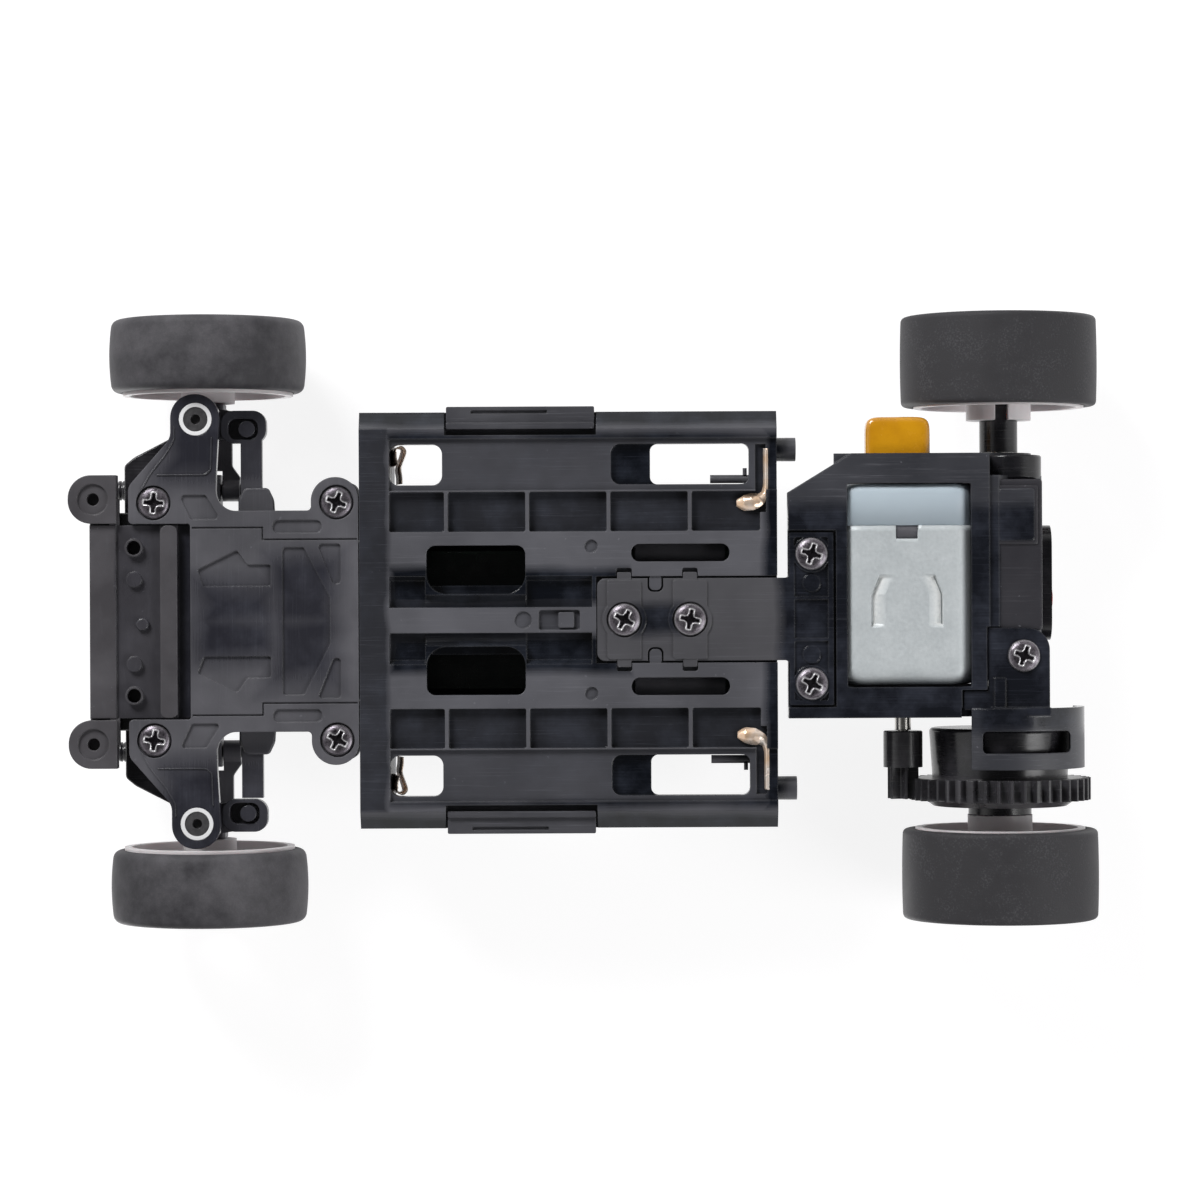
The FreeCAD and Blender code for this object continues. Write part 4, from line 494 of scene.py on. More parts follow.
frontTyre = {"crown": 0.00035, "shoulder": 0.0010, "roundness": 2.3, "columns": 160, "rows": 44, "wall": 0.00165,
             "short": 0.0005, "finish": tyreRubber("frontTyreRubber", frontTyreLook)}
rearTyre = {**frontTyre, "crown": 0.00012, "shoulder": 0.0006, "roundness": 2.2, "short": 0.0003,
            "finish": finishes["tyre_rubber"]}


# A profile turned round the axle. Its radius falls from the middle by a small parabola and by a quarter of a
# superellipse at each shoulder; the inner side is a plain cylinder. It stops short of the rim's inboard edge.
def makeTyre(node, body, shape):
    low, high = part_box(node)
    middle = (low + high) / 2
    half = (high.y - low.y - shape["short"]) / 2
    outer = min(high.x - low.x, high.z - low.z) / 2
    middle.y += math.copysign(shape["short"] / 2, middle.y)
    s = np.linspace(-1, 1, shape["rows"])
    across = half * np.sin(s * math.pi / 2)
    reach = np.clip((np.abs(across) - half + shape["shoulder"]) / shape["shoulder"], 0, 1)
    drop = shape["shoulder"] * (1 - (1 - reach ** shape["roundness"]) ** (1 / shape["roundness"]))
    tread = outer - shape["crown"] * (across / half) ** 2 - drop
    inner = outer - shape["wall"]
    profileY = np.concatenate([[half], across[::-1], [-half, half]])[:, None]
    profileR = np.concatenate([[inner], tread[::-1], [inner, inner]])[:, None]
    turn = np.linspace(0, 2 * math.pi, shape["columns"], endpoint=False)
    points = np.stack(np.broadcast_arrays(middle.x + profileR * np.cos(turn), middle.y + profileY + 0 * turn,
                                          middle.z + profileR * np.sin(turn)), -1)
    gridPiece(node + "_crowned", points, "tyre_rubber", body, [node], None, shape["finish"])


for node, body, shape in (("front_tyre_left", "front_wheel_left", frontTyre),
                          ("front_tyre_right", "front_wheel_right", frontTyre),
                          ("rear_tyre_left", "rear_drive", rearTyre), ("rear_tyre_right", "rear_drive", rearTyre)):
    makeTyre(node, body, shape)
print("tyres made")

screwShape = {"headRadius": 0.002, "headHeight": 0.00075, "domePower": 4.5, "domeFall": 0.16, "shank": 0.00088,
              "length": 0.0044, "tip": 0.0006, "rows": 40, "columns": 112, "crossReach": 0.00128,
              "crossHalf": 0.00030, "crossDepth": 0.00045, "flare": 1.5, "flareReach": 0.00075,
              "sideSoft": 0.00010, "endSoft": 0.00014, "apart": 0.0045}
# bands of wear, and how far below nothing the recess's floor goes, which paints it near black as painted shade
screwWearAndShade = {"armWidth": 0.00010, "armEnd": 1.2, "tipWidth": 0.00009, "gain": 1.3, "floorFrom": 0.7,
             "floorBelow": 0.35, "floor": -0.9, "rimPlace": 0.94, "rimWidth": 0.00010, "rim": 0.35,
             "rimLeast": 0.02}
screwTurns = {"arm_plate_screws": (0.06, 0.35, 0.15, 0.5), "t_plate_screws": (0.5, 0.2), "pod_screws": (0.3, 0.45),
              "gear_guard_screw": (0.35,)}


# A flat dome whose height over the disc is a root of one minus a high power of the radius. A four-armed recess is
# sunk in it, deepest in the middle, its arms flaring at the centre. Wear is a band along the recess's edge and the
# head's rim. On the recess's floor the mask is less than nothing, which paints the floor near black: painted shade.
def screwGrid(spot, turned):
    shape = screwShape
    angle = np.linspace(0, 2 * math.pi, shape["columns"], endpoint=False)
    share = np.linspace(0.0, 1.0, shape["rows"])[:, None]
    r = share * shape["headRadius"] + 0 * angle
    dome = shape["headHeight"] * np.sqrt(1 - share ** shape["domePower"])
    dome = dome * (1 - shape["domeFall"] * share ** 2) + 0 * angle
    x = r * np.cos(angle - turned)
    y = r * np.sin(angle - turned)
    near = np.minimum(np.abs(x), np.abs(y))
    flare = shape["crossHalf"] * (1.0 + shape["flare"] * np.clip(1 - r / shape["flareReach"], 0, 1))
    toEnd = shape["crossReach"] - r
    side = np.clip((flare - near) / shape["sideSoft"], 0, 1)
    end = np.clip(toEnd / shape["endSoft"], 0, 1)
    sink = side * end * shape["crossDepth"] * (0.5 + 0.5 * np.clip(1 - r / shape["crossReach"], 0, 1))
    edge = screwWearAndShade
    along = np.exp(-((flare - near) / edge["armWidth"]) ** 2)
    along = along * np.clip(toEnd / edge["armWidth"] + edge["armEnd"], 0, 1)
    tips = np.exp(-(toEnd / edge["tipWidth"]) ** 2) * (near < flare)
    wearAndPaintedLight = np.clip(np.maximum(along, tips) * edge["gain"], 0, 1)
    # the recess's floor is pushed below nothing: painted shade there
    wearAndPaintedLight = np.where((side * end > edge["floorFrom"]) & (wearAndPaintedLight < edge["floorBelow"]), edge["floor"], wearAndPaintedLight)
    rim = np.exp(-((r - shape["headRadius"] * edge["rimPlace"]) / edge["rimWidth"]) ** 2) * edge["rim"]
    head = np.stack([spot.x + r * np.cos(angle), spot.y + r * np.sin(angle), spot.z - dome + sink], -1)
    tubeR = np.array([shape["headRadius"], shape["shank"], shape["shank"], 0.0])[:, None]
    tubeZ = np.array([0.0, 0.0, shape["length"] - shape["tip"], shape["length"]])[:, None]
    tube = np.stack(np.broadcast_arrays(spot.x + tubeR * np.cos(angle), spot.y + tubeR * np.sin(angle),
                                        spot.z + tubeZ + 0 * angle), -1)
    wearAndPaintedLight = np.where(rim > edge["rimLeast"], np.maximum(wearAndPaintedLight, rim), wearAndPaintedLight)
    mask = np.concatenate([wearAndPaintedLight, np.zeros(tube.shape[:2])])
    return np.concatenate([head, tube]), mask


# the seat of each screw in a node: the middle of each cluster of its points, a head's height above the lowest
def screwSeats(node):
    mesh = nodes[node].data
    flat = np.empty(len(mesh.vertices) * 3)
    mesh.vertices.foreach_get("co", flat)
    points = flat.reshape(-1, 3)
    seats = []
    while len(points):
        close = np.hypot(*(points[:, :2] - points[0, :2]).T) < screwShape["apart"]
        cluster = points[close]
        middle = (cluster.min(0) + cluster.max(0)) / 2
        seats.append(Vector((middle[0], middle[1], cluster[:, 2].min() + screwShape["headHeight"])))
        points = points[~close]
    return seats


for node, turns in screwTurns.items():
    body = "pod" if node in ("pod_screws", "gear_guard_screw") else "chassis"
    for number, (seat, turned) in enumerate(zip(screwSeats(node), turns)):
        points, mask = screwGrid(seat, turned)
        gridPiece(f"{node}_{number + 1}", points, "screw_steel", body, [node], mask)
print("screws made")

capacitorShape = {"rows": 48, "columns": 64, "squareness": 0.3}


# A superellipsoid: each axis is a signed power of sine and cosine, so the block has full rounded edges.
def makeCapacitor():
    low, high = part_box("capacitor")
    middle = (low + high) / 2
    half = (high - low) / 2
    power = capacitorShape["squareness"]
    v = np.linspace(-math.pi / 2, math.pi / 2, capacitorShape["rows"])[:, None]
    u = np.linspace(0, 2 * math.pi, capacitorShape["columns"], endpoint=False)[None, :]
    soft = [np.sign(f) * np.abs(f) ** power for f in (np.cos(v), np.sin(v), np.cos(u), np.sin(u))]
    points = np.stack(np.broadcast_arrays(middle.x + half.x * soft[0] * soft[2],
                                          middle.y + half.y * soft[0] * soft[3],
                                          middle.z + half.z * soft[1] + 0 * u), -1)
    gridPiece("capacitor_dipped", points, "amber_plastic", "pod", ["capacitor"])


makeCapacitor()
print("capacitor made")

canShape = {"sharpness": 26.0, "endRound": 0.0021, "roundSteps": 9, "wall": 0.0006, "floor": 0.0008,
            "noseRadius": 0.003, "noseLength": 0.0009, "bore": 0.00105, "flatReach": 0.0066, "flatSteps": 30,
            "sideReach": 0.0069, "sideSteps": 90, "lengthSteps": 26, "notchHalf": 0.00135, "notchLength": 0.0016,
            "notchEdges": (-1.004, -0.996, 0.996, 1.004), "notchBelow": 0.7, "notchOut": 0.85}
# the last value is how strongly the sunk ramps are painted bright: a painted highlight
pressShape = {"outer": 0.00435, "taper": 0.0010, "top": 0.00534, "bend": 0.0029, "bottom": -0.0011,
              "width": 0.0017, "depth": 0.0006, "endSoft": 0.0004, "margin": 0.0003, "step": 0.00008,
              "denseFrom": 0.0023, "denseTo": 0.0048, "denseStep": 0.00006, "wearAndPaintedLight": 1.2}


# how far the motor's side is from its axis at each angle: a power mean of a circle and two flats
def motorOutline(angle, radius, flat):
    sharpness = canShape["sharpness"]
    plane = flat / np.maximum(np.abs(np.sin(angle)), 1e-6)
    return (radius ** -sharpness + plane ** -sharpness) ** (-1 / sharpness)


# A closed wall round the motor's axis. The outline comes from motorOutline. The shaft end is rounded by a
# quarter circle, then comes the nose, the bore and the inner wall. Two pressed marks are sunk in the lower flat:
# each is a ramp that is deepest at its outer edge, and that edge slants inward at its top.
def makeCan():
    shape = canShape
    press = pressShape
    low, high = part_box("motor_can")
    centre = (low + high) / 2
    radius = (high.x - low.x) / 2
    flat = (high.z - low.z) / 2
    openY = high.y
    closedY = low.y + shape["noseLength"]
    floorY = closedY + shape["floor"]
    dense = [np.arange(start, stop, press["denseStep"])
             for start, stop in ((-press["denseTo"], -press["denseFrom"]), (press["denseFrom"], press["denseTo"]))]
    notch = np.array(shape["notchEdges"]) * shape["notchHalf"]
    flatX = np.linspace(-shape["flatReach"], shape["flatReach"], shape["flatSteps"])
    lower = np.unique(np.concatenate([flatX, *dense, notch]))
    corner = math.atan2(flat, shape["sideReach"])
    rest = np.linspace(-corner, math.pi + corner, shape["sideSteps"])
    angle = np.concatenate([np.arctan2(-flat, lower), rest])
    outline = motorOutline(angle, radius, flat)
    pressY = np.arange(press["bottom"] - press["margin"], press["top"] + press["margin"], press["step"])
    plainY = np.linspace(closedY + shape["endRound"], openY, shape["lengthSteps"])
    wallY = np.unique(np.concatenate([plainY, pressY]))[::-1]
    t = np.linspace(0, math.pi / 2, shape["roundSteps"])[1:]
    roundY = closedY + shape["endRound"] * (1 - np.sin(t))
    roundIn = shape["endRound"] * (1 - np.cos(t))
    nose = np.array([[shape["noseRadius"], closedY], [shape["noseRadius"], low.y], [shape["bore"], low.y],
                     [shape["bore"], floorY]])
    alongY = np.concatenate([wallY, roundY, nose[:, 1], [floorY, openY, openY]])[:, None] + 0 * angle
    inset = np.concatenate([0 * wallY, roundIn])[:, None]
    ring = nose[:, :1] + 0 * angle
    inner = np.stack([outline - shape["wall"]] * 2)
    reach = np.concatenate([outline - inset, ring, inner, outline[None, :]])
    isOuter = np.arange(len(reach))[:, None] < len(wallY)
    x = reach * np.cos(angle)
    z = reach * np.sin(angle)
    slant = np.clip((alongY - press["bend"]) / (press["top"] - press["bend"]), 0, 1)
    into = (press["outer"] - press["taper"] * slant - np.abs(x)) / press["width"]
    inside = (into > 0) & (into < 1) & (alongY > press["bottom"]) & (alongY < press["top"]) & (z < 0)
    toEnd = np.minimum(alongY - press["bottom"], press["top"] - alongY)
    sunk = np.where(inside & isOuter, (1 - into) * np.clip(toEnd / press["endSoft"], 0, 1), 0.0)
    z = z + press["depth"] * sunk
    isFlat = (z < -flat * shape["notchBelow"]) & (np.hypot(x, z) > flat * shape["notchOut"])
    notched = (np.abs(x) < shape["notchHalf"]) & isFlat
    alongY = np.where(notched, np.minimum(alongY, openY - shape["notchLength"]), alongY)
    points = np.stack([centre.x + x, alongY, centre.z + z], -1)
    points = np.concatenate([points, points[:1]])
    # the pressed marks are painted bright, most at their deepest edge and broken by noise: a painted highlight on
    # their ramps
    bright = np.clip(np.concatenate([sunk, sunk[:1]]) * press["wearAndPaintedLight"], 0, 1)
    gridPiece("motor_can_pressed", points, "can_steel", "pod", ["motor_can"], bright)


bellShape = {"endRound": 0.0011, "roundSteps": 10, "bore": 0.00078, "columns": 180}


# The same outline as the can's, closed at both ends round a bore, its free end rounded by a quarter circle.
def makeEndBell():
    low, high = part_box("motor_end_bell")
    centre = (low + high) / 2
    angle = np.linspace(0, 2 * math.pi, bellShape["columns"], endpoint=False)
    outline = motorOutline(angle, (high.x - low.x) / 2, (high.z - low.z) / 2)
    t = np.linspace(0, math.pi / 2, bellShape["roundSteps"])
    turnY = high.y - bellShape["endRound"] * (1 - np.sin(t))
    turnIn = bellShape["endRound"] * (1 - np.cos(t))
    walls = outline - np.concatenate([[0.0], turnIn])[:, None]
    bore = np.full((1, len(angle)), bellShape["bore"])
    reach = np.concatenate([bore, walls, bore, bore])
    alongY = np.concatenate([[low.y, low.y], turnY, [high.y, low.y]])[:, None] + 0 * angle
    points = np.stack([centre.x + reach * np.cos(angle), alongY, centre.z + reach * np.sin(angle)], -1)
    gridPiece("motor_end_bell_rounded", points, "bell_plastic", "pod", ["motor_end_bell"])


makeCan()
makeEndBell()
print("motor made")

stripShape = {"thickness": 0.00016, "steps": 60, "smooth": (1, 2, 3, 2, 1), "smoothTimes": 2}


# A flat strip carried along a smooth path through the given points. At each place the strip spreads both ways
# along a direction that turns evenly from the first to the last, and two more sides give it its thickness.
def strip(name, stops, spreadFrom, spreadTo, halfWidths, slotName, body, replaced):
    stops = np.array(stops, float) * 0.001
    share = np.linspace(0, 1, len(stops))
    t = np.linspace(0, 1, stripShape["steps"])
    fine = np.stack([np.interp(t, share, stops[:, k]) for k in range(3)], -1)
    kernel = np.array(stripShape["smooth"]) / sum(stripShape["smooth"])
    for _ in range(stripShape["smoothTimes"]):
        padded = np.concatenate([fine[:1], fine[:1], fine, fine[-1:], fine[-1:]])
        fine = np.stack([np.convolve(padded[:, k], kernel, "valid") for k in range(3)], -1)
    ahead = np.gradient(fine, axis=0)
    ahead /= np.linalg.norm(ahead, axis=1, keepdims=True)
    spread = (1 - t[:, None]) * np.array(spreadFrom, float) + t[:, None] * np.array(spreadTo, float)
    spread -= ahead * (spread * ahead).sum(1, keepdims=True)
    spread /= np.linalg.norm(spread, axis=1, keepdims=True)
    through = np.cross(ahead, spread) * stripShape["thickness"] / 2
    half = np.interp(t, np.linspace(0, 1, len(halfWidths)), np.array(halfWidths) * 0.001)[:, None]
    corners = [fine + spread * half + through, fine - spread * half + through,
               fine - spread * half - through, fine + spread * half - through]
    points = np.stack(corners, 1)
    points = np.concatenate([points[:1].mean(1, keepdims=True).repeat(4, 1), points,
                             points[-1:].mean(1, keepdims=True).repeat(4, 1)])
    return gridPiece(name, points, slotName, body, replaced)


# Places in millimetres. Those of the contacts are from the face of the node that they replace, the others are from
# the origin, all for the left side.
upward, sideways = (0, 0, 1), (0, 1, 0)
contactLoop = {"height": 8.0, "lean": (0.2, 0, 1), "halves": [2.2, 2.4],
               "stops": [(-0.95, 16.6), (-0.95, 17.6), (-0.75, 18.6), (-1.25, 19.9), (-1.5, 20.7), (-1.15, 21.15),
                         (-0.6, 21.15), (-0.25, 20.8), (-0.2, 20.0), (-0.55, 18.9)]}
contactLeaf = {"sink": -0.15, "lean": (0.75, 0, 0.65), "halves": [0.35, 0.95, 1.05, 0.8, 0.45, 0.32, 0.32, 0.32],
               "stops": [(4.0, 14.1, 3.5), (3.0, 14.1, 3.45), (1.9, 14.3, 3.42), (1.0, 14.6, 3.42),
                         (0.5, 15.2, 3.4), (0.35, 16.2, 3.38), (0.35, 18.5, 3.38), (0.35, 21.0, 3.38)]}
cellStop = {"stops": [(-14.95, 17.1, 5.2), (-19.85, 17.1, 5.2)], "half": 0.5}
cellStopTab = {"stops": [(-19.25, 17.4, 5.2), (-19.25, 18.45, 5.2)], "half": 0.25}
slotCover = {"stops": [(-17.0, 8.0, 5.56), (-5.6, 8.0, 5.56)], "half": 1.5}
bellTongue = {"reach": 1.3, "inset": 0.8, "lift": 0.3, "half": 0.85}
podLining = {"reach": 8.4, "lift": 2.4, "half": 0.2, "shaftGap": 0.12, "bellGap": 0.05}


# An outline drawn for the left side, turned over for the other side where sign is -1.
def mirrored(outline, sign):
    return [(point[0], sign * point[1], *point[2:]) for point in outline]


# a strip that spreads one way all along, with an even width
def evenStrip(name, stops, spread, half, slotName, body):
    return strip(name, stops, spread, spread, [half, half], slotName, body, [])


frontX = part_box("front_contacts")[1].x * 1000
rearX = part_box("rear_contacts")[0].x * 1000
sides = (("left", 1), ("right", -1))
for side, sign in sides:
    loop = [(frontX + x, sign * y, contactLoop["height"]) for x, y in contactLoop["stops"]]
    strip(f"front_contact_{side}", loop, contactLoop["lean"], contactLoop["lean"], contactLoop["halves"],
          "contact_metal", "chassis", ["front_contacts"])
    leaf = [(rearX + x, sign * y, z) for x, y, z in contactLeaf["stops"]]
    strip(f"rear_contact_{side}", leaf, (0, sign, contactLeaf["sink"]), contactLeaf["lean"], contactLeaf["halves"],
          "contact_metal", "chassis", ["rear_contacts"])
    for name, shape, spread in (("cell_stop", cellStop, sideways), ("cell_stop_tab", cellStopTab, (1, 0, 0)),
                                ("slot_cover", slotCover, sideways)):
        evenStrip(f"{name}_{side}", mirrored(shape["stops"], sign), spread, shape["half"], "servo_plastic",
                  "chassis")
canLow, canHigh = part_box("motor_can")
canMiddle = (canLow + canHigh) * 500
canBottom = canLow.z * 1000
tongueY = canHigh.y * 1000 - bellTongue["inset"]
tongueZ = canBottom + bellTongue["lift"]
evenStrip("bell_tongue", [(canMiddle.x + end * bellTongue["reach"], tongueY, tongueZ) for end in (-1, 1)], sideways,
          bellTongue["half"], "servo_plastic", "pod")
shaftFace = (canLow.y + canShape["noseLength"]) * 1000
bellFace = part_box("motor_end_bell")[1].y * 1000
for side, y in (("right", shaftFace - podLining["shaftGap"]), ("left", bellFace + podLining["bellGap"])):
    stops = [(canMiddle.x + end * podLining["reach"], y, canBottom + podLining["lift"]) for end in (-1, 1)]
    evenStrip(f"pod_lining_{side}", stops, sideways, podLining["half"], "chassis_plastic", "pod")
print("contacts made")

slabShape = {"edge": 0.00015, "corner": 0.0004, "cornerSteps": 6}


# An outline in millimetres with each corner swapped for a parabola, raised between two heights. The edges of both
# faces are drawn in towards the middle by a small step, and a point in the middle of each face closes it.
def slab(name, outline, heights, slotName, body, finish=None):
    corner = np.array(outline, float) * 0.001
    toLast = np.roll(corner, 1, 0) - corner
    toNext = np.roll(corner, -1, 0) - corner
    start = corner + toLast / np.linalg.norm(toLast, axis=1, keepdims=True) * slabShape["corner"]
    end = corner + toNext / np.linalg.norm(toNext, axis=1, keepdims=True) * slabShape["corner"]
    t = np.linspace(0, 1, slabShape["cornerSteps"])[None, :, None]
    bent = (1 - t) ** 2 * start[:, None] + 2 * t * (1 - t) * corner[:, None] + t ** 2 * end[:, None]
    bent = bent.reshape(-1, 2)
    middle = bent.mean(0)
    inward = middle - bent
    inner = bent + inward / np.linalg.norm(inward, axis=1, keepdims=True) * slabShape["edge"]
    centre = middle + 0 * bent
    low, high = (height * 0.001 for height in heights)
    rises = (low, low, low + slabShape["edge"], high - slabShape["edge"], high, high)
    rows = [np.column_stack([ring, np.full(len(bent), z)])
            for ring, z in zip((centre, inner, bent, bent, inner, centre), rises)]
    piece = gridPiece(name, np.stack(rows), slotName, body, [], None, finish)
    piece.data.shade_flat()
    return piece


turnedColumns = 72


# A profile of places along an axis and distances from it, both in millimetres, turned once round. Where a top is
# given, what stands above it is pressed down to it.
def turned(name, profile, centre, alongX, slotName, body, top=None):
    angle = np.linspace(0, 2 * math.pi, turnedColumns, endpoint=False)
    along, radii = np.array(profile, float).T[:, :, None]
    place = along + 0 * angle
    across, up = radii * np.cos(angle), radii * np.sin(angle)
    up = up if top is None else np.minimum(up, top)
    axes = (place, across, up) if alongX else (across, place, up)
    return gridPiece(name, (np.stack(axes, -1) + np.array(centre)) * 0.001, slotName, body, [])


# places in millimetres from the origin for the left side, and heights of the lower and the upper face
upperMount = {"outline": [(56.9, 13.0), (56.9, 19.2), (55.7, 20.2), (51.2, 22.5), (50.6, 21.6), (52.6, 13.0)],
              "heights": (8.0, 10.4)}
hingeHead = {"profile": [(0, 0), (0, 1.1), (0.15, 1.25), (0.45, 1.25), (0.6, 1.05), (0.75, 1.25), (1.05, 1.2),
                         (1.2, 1.0), (1.2, 0)], "sink": 0.05}
noseBracket = {"outline": [(60.8, 11.3), (60.8, 12.9), (57.3, 13.3), (53.6, 13.3), (53.6, 11.3)],
               "heights": (5.0, 7.4)}
armStep = [(52.6, 17.85, 2.8), (46.4, 17.85, 2.8), (45.75, 18.5, 2.8), (45.65, 22.6, 2.8)]
armEdge = [(54.3, 15.9, 2.8), (53.2, 17.9, 2.8), (51.2, 20.4, 2.8), (50.2, 22.2, 2.8), (50.2, 23.8, 2.8)]
armLineHalf = 0.12
rodPad = {"outline": [(42.6, 13.0), (42.6, 14.7), (41.9, 16.3), (39.0, 16.3), (38.3, 14.8), (38.2, 13.0)],
          "heights": (5.4, 6.3)}
# this one is from the rear axle's middle along x and z, and flat on top
axleHousing = {"profile": [(17.0, 0), (17.0, 3.6), (17.05, 3.7), (17.2, 3.8), (17.3, 3.8), (19.65, 3.8),
                           (19.75, 3.8), (19.9, 3.7), (19.95, 3.6), (19.95, 0)], "back": 1.1, "below": 3.15}
podRearCover = {"outline": [(-48.4, -1.5), (-48.4, 16.9), (-55.4, 16.9), (-55.4, -1.5)], "heights": (3.6, 7.6)}
podRearRim = {"outline": [(-49.6, 8.9), (-49.6, 16.2), (-54.9, 16.2), (-54.9, 8.9)], "heights": (3.4, 3.7)}
podRearPanel = {"outline": [(-50.0, 9.3), (-50.0, 15.8), (-54.5, 15.8), (-54.5, 9.3)], "heights": (3.3, 3.6)}
noseDimple = {"middle": (54.2, -0.3), "radius": 0.9, "corners": 6, "heights": (3.2, 3.9)}

pinLow, pinHigh = (corner * 1000 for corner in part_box("upper_arm_pins"))
pinRadius = (pinHigh.z - pinLow.z) / 2
for side, sign in sides:
    slab(f"upper_mount_{side}", mirrored(upperMount["outline"], sign), upperMount["heights"], "gear_plastic",
         "chassis")
    pinEnd = (pinHigh.x - hingeHead["sink"], sign * (pinHigh.y - pinRadius), (pinLow.z + pinHigh.z) / 2)
    turned(f"hinge_head_{side}", hingeHead["profile"], pinEnd, True, "gear_plastic", "chassis")
    slab(f"nose_bracket_{side}", mirrored(noseBracket["outline"], sign), noseBracket["heights"], "gear_plastic",
         "chassis")
    for name, stops in (("arm_step", armStep), ("arm_edge", armEdge)):
        evenStrip(f"{name}_{side}", mirrored(stops, sign), upward, armLineHalf, "arm_plastic", "chassis")
    slab(f"tie_rod_pad_{side}", mirrored(rodPad["outline"], sign), rodPad["heights"], "servo_plastic",
         "steering_link")
axle = sum(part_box("rear_axle"), Vector()) * 500
turned("axle_housing", axleHousing["profile"], (axle.x - axleHousing["back"], 0, axle.z - axleHousing["below"]),
       False, "gear_plastic", "pod", 0.0)
for name, shape, finish in (("pod_rear_cover", podRearCover, coverFinish), ("pod_rear_rim", podRearRim, coverFinish),
                            ("pod_rear_panel", podRearPanel, podFinish)):
    slab(name, shape["outline"], shape["heights"], "chassis_plastic", "pod", finish)
turn = np.linspace(0, 2 * math.pi, noseDimple["corners"], endpoint=False)
ring = np.column_stack([noseDimple["middle"][0] + noseDimple["radius"] * np.cos(turn),
                        noseDimple["middle"][1] + noseDimple["radius"] * np.sin(turn)])
slab("nose_dimple", ring, noseDimple["heights"], "bumper_plastic", "chassis")
print("small fittings made")

springShape = {"wire": 0.00017, "turns": 3.5, "steps": 150, "sides": 12, "closed": 0.12, "fixedEnd": 0.01715,
               "travel": 0.0008}


# A round wire along a helix whose pitch falls to nothing over its first and last part, so its ends lie flat.
def makeSpring(side):
    node = f"front_spring_{side}"
    low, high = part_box(node)
    centre = (low + high) / 2
    wire = springShape["wire"]
    radius = (high.x - low.x) / 2 - wire
    t = np.linspace(0, 1, springShape["steps"])
    rise = np.clip((t - springShape["closed"]) / (1 - 2 * springShape["closed"]), 0, 1)
    turn = 2 * math.pi * springShape["turns"] * t
    path = np.stack([centre.x + radius * np.cos(turn), centre.y + radius * np.sin(turn),
                     low.z + wire + (high.z - low.z - 2 * wire) * rise], -1)
    outward = np.stack([np.cos(turn), np.sin(turn), 0 * turn], -1)
    around = np.linspace(0, 2 * math.pi, springShape["sides"], endpoint=False)[None, :, None]
    tube = path[:, None] + wire * (np.cos(around) * outward[:, None] + np.sin(around) * np.array([0, 0, 1.0]))
    ends = [path[[k]][:, None].repeat(springShape["sides"], 1) for k in (0, -1)]
    points = np.concatenate([ends[0], tube, ends[1]])
    piece = gridPiece(node + "_coiled", points, "spring_steel", "chassis", [node])
    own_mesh(piece)


makeSpring("left")
makeSpring("right")
print("springs made")

# The plate is the CAD shape again, as a mesh of its own baked into world space.
plate = newObject("t_plate_flexing", nodes["t_plate"].data.copy())
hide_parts("t_plate")
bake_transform(plate)

# the pale floor under the wheels and a backdrop over the car, each seen from one side only
stageLook = {"floorSize": 3.0, "floorHeight": -0.00005, "backdropSize": 0.34, "gap": 0.0002,
             "white": (0.94, 0.92, 0.94), "glow": 1.20, "share": 0.72}


def paleSheet(name, size, height, facesUp):
    material = bpy.data.materials.new(name)
    material.use_nodes = True
    tree = material.node_tree
    tree.nodes.clear()
    out = newNode(tree, "OutputMaterial")
    lit = newNode(tree, "BsdfDiffuse")
    fill(lit, {"Color": (*stageLook["white"], 1)})
    glow = newNode(tree, "Emission")
    fill(glow, {"Strength": stageLook["glow"]})
    _, seen = seenRay(tree)
    front = newNode(tree, "MixShader")
    tree.links.new(product(tree, seen, stageLook["share"]), front.inputs["Fac"])
    tree.links.new(lit.outputs["BSDF"], front.inputs[1])
    tree.links.new(glow.outputs["Emission"], front.inputs[2])
    clear = newNode(tree, "BsdfTransparent")
    side = newNode(tree, "NewGeometry")
    both = newNode(tree, "MixShader")
    tree.links.new(side.outputs["Backfacing"], both.inputs["Fac"])
    tree.links.new(front.outputs["Shader"], both.inputs[1])
    tree.links.new(clear.outputs["BSDF"], both.inputs[2])
    tree.links.new(both.outputs["Shader"], out.inputs["Surface"])
    half = size / 2
    corners = [(-half, -half, height), (half, -half, height), (half, half, height), (-half, half, height)]
    mesh = bpy.data.meshes.new(name)
    mesh.from_pydata(corners, [], [(0, 1, 2, 3) if facesUp else (3, 2, 1, 0)])
    mesh.materials.append(material)
    sheet = newObject(name, mesh)
    sheet.visible_shadow = False
    sheet.visible_diffuse = False
    sheet.visible_glossy = not facesUp


paleSheet("floor", stageLook["floorSize"], stageLook["floorHeight"], True)
paleSheet("backdrop", stageLook["backdropSize"], cadBox[1].z + stageLook["gap"], False)

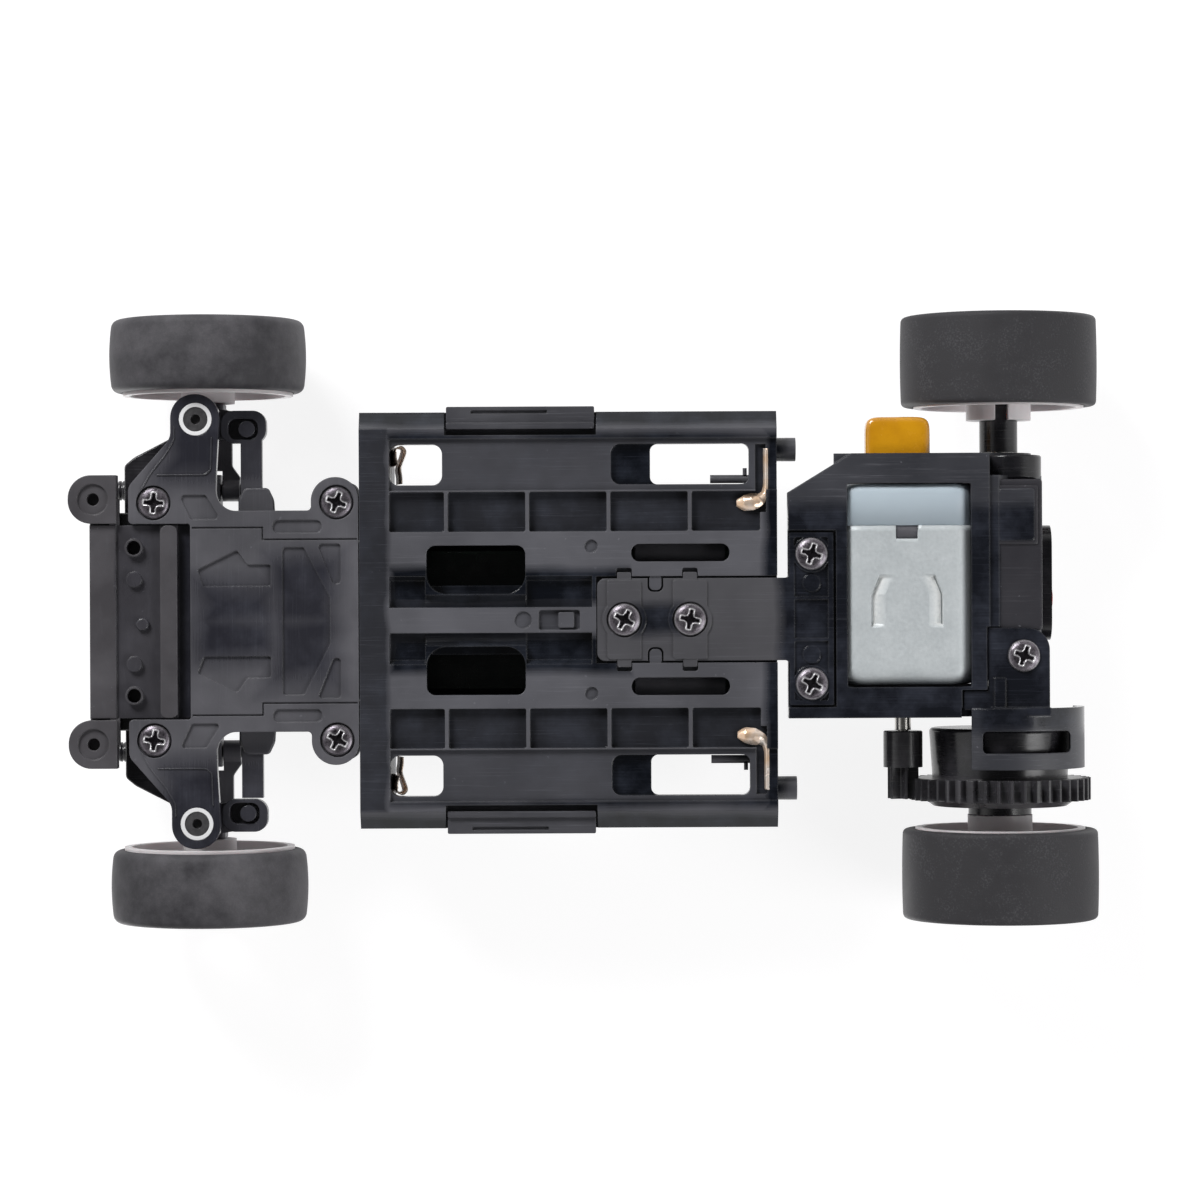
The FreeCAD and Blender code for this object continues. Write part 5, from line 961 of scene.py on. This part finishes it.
# an even white room that is dim straight below, where a camera and its stand would be
roomLook = {"light": 0.40, "dimFrom": 0.50, "dimTo": 0.90, "dimBy": 0.93}
world = bpy.data.worlds.new("studio")
bpy.context.scene.world = world
world.use_nodes = True
tree = world.node_tree
path, seen = seenRay(tree)
direction = newNode(tree, "SeparateXYZ")
tree.links.new(newNode(tree, "TexCoord").outputs["Generated"], direction.inputs["Vector"])
below = ramp(tree, direction.outputs["Z"], -roomLook["dimFrom"], -roomLook["dimTo"], 0.0, roomLook["dimBy"])
hidden = combined(tree, "SUBTRACT", 1.0, path.outputs["Is Camera Ray"])
dim = combined(tree, "SUBTRACT", 1.0, product(tree, below, hidden))
strength = product(tree, ramp(tree, seen, 0.0, 1.0, roomLook["light"], 1.0), dim)
fill(tree.nodes["Background"], {"Color": (1, 1, 1, 1)})
tree.links.new(strength, tree.nodes["Background"].inputs["Strength"])

lamps = {
    "keyBelow": {"spot": (0.30, 0.46, -0.36), "size": 0.26, "watts": 4.2},
    "fillBelow": {"spot": (-0.50, -0.26, -0.32), "size": 0.40, "watts": 2.2},
    "keyAbove": {"spot": (0.28, -0.35, 0.62), "size": 0.4, "watts": 3.6},
    "fillAbove": {"spot": (-0.45, 0.35, 0.5), "size": 0.5, "watts": 1.8},
}
aim = Vector((0, 0, 0.012))
for name, lamp in lamps.items():
    data = bpy.data.lights.new(name, "AREA")
    data.size = lamp["size"]
    data.energy = lamp["watts"]
    light = newObject(name, data)
    light.location = lamp["spot"]
    light.rotation_euler = (aim - light.location).to_track_quat("-Z", "Y").to_euler()

viewpoint = {"place": (-0.0015, 0.0024, -0.450), "lens": 111.765, "sensor": 36.0, "near": 0.01, "roll": 0.0046}
cameraData = bpy.data.cameras.new("camera")
cameraData.sensor_width = viewpoint["sensor"]
cameraData.lens = viewpoint["lens"]
cameraData.clip_start = viewpoint["near"]
camera = newObject("camera", cameraData)
camera.location = viewpoint["place"]
camera.rotation_euler = (math.pi, 0, math.pi + viewpoint["roll"])
bpy.context.scene.camera = camera
bpy.context.scene.view_settings.view_transform = "Standard"
print("stage, lamps and camera set")
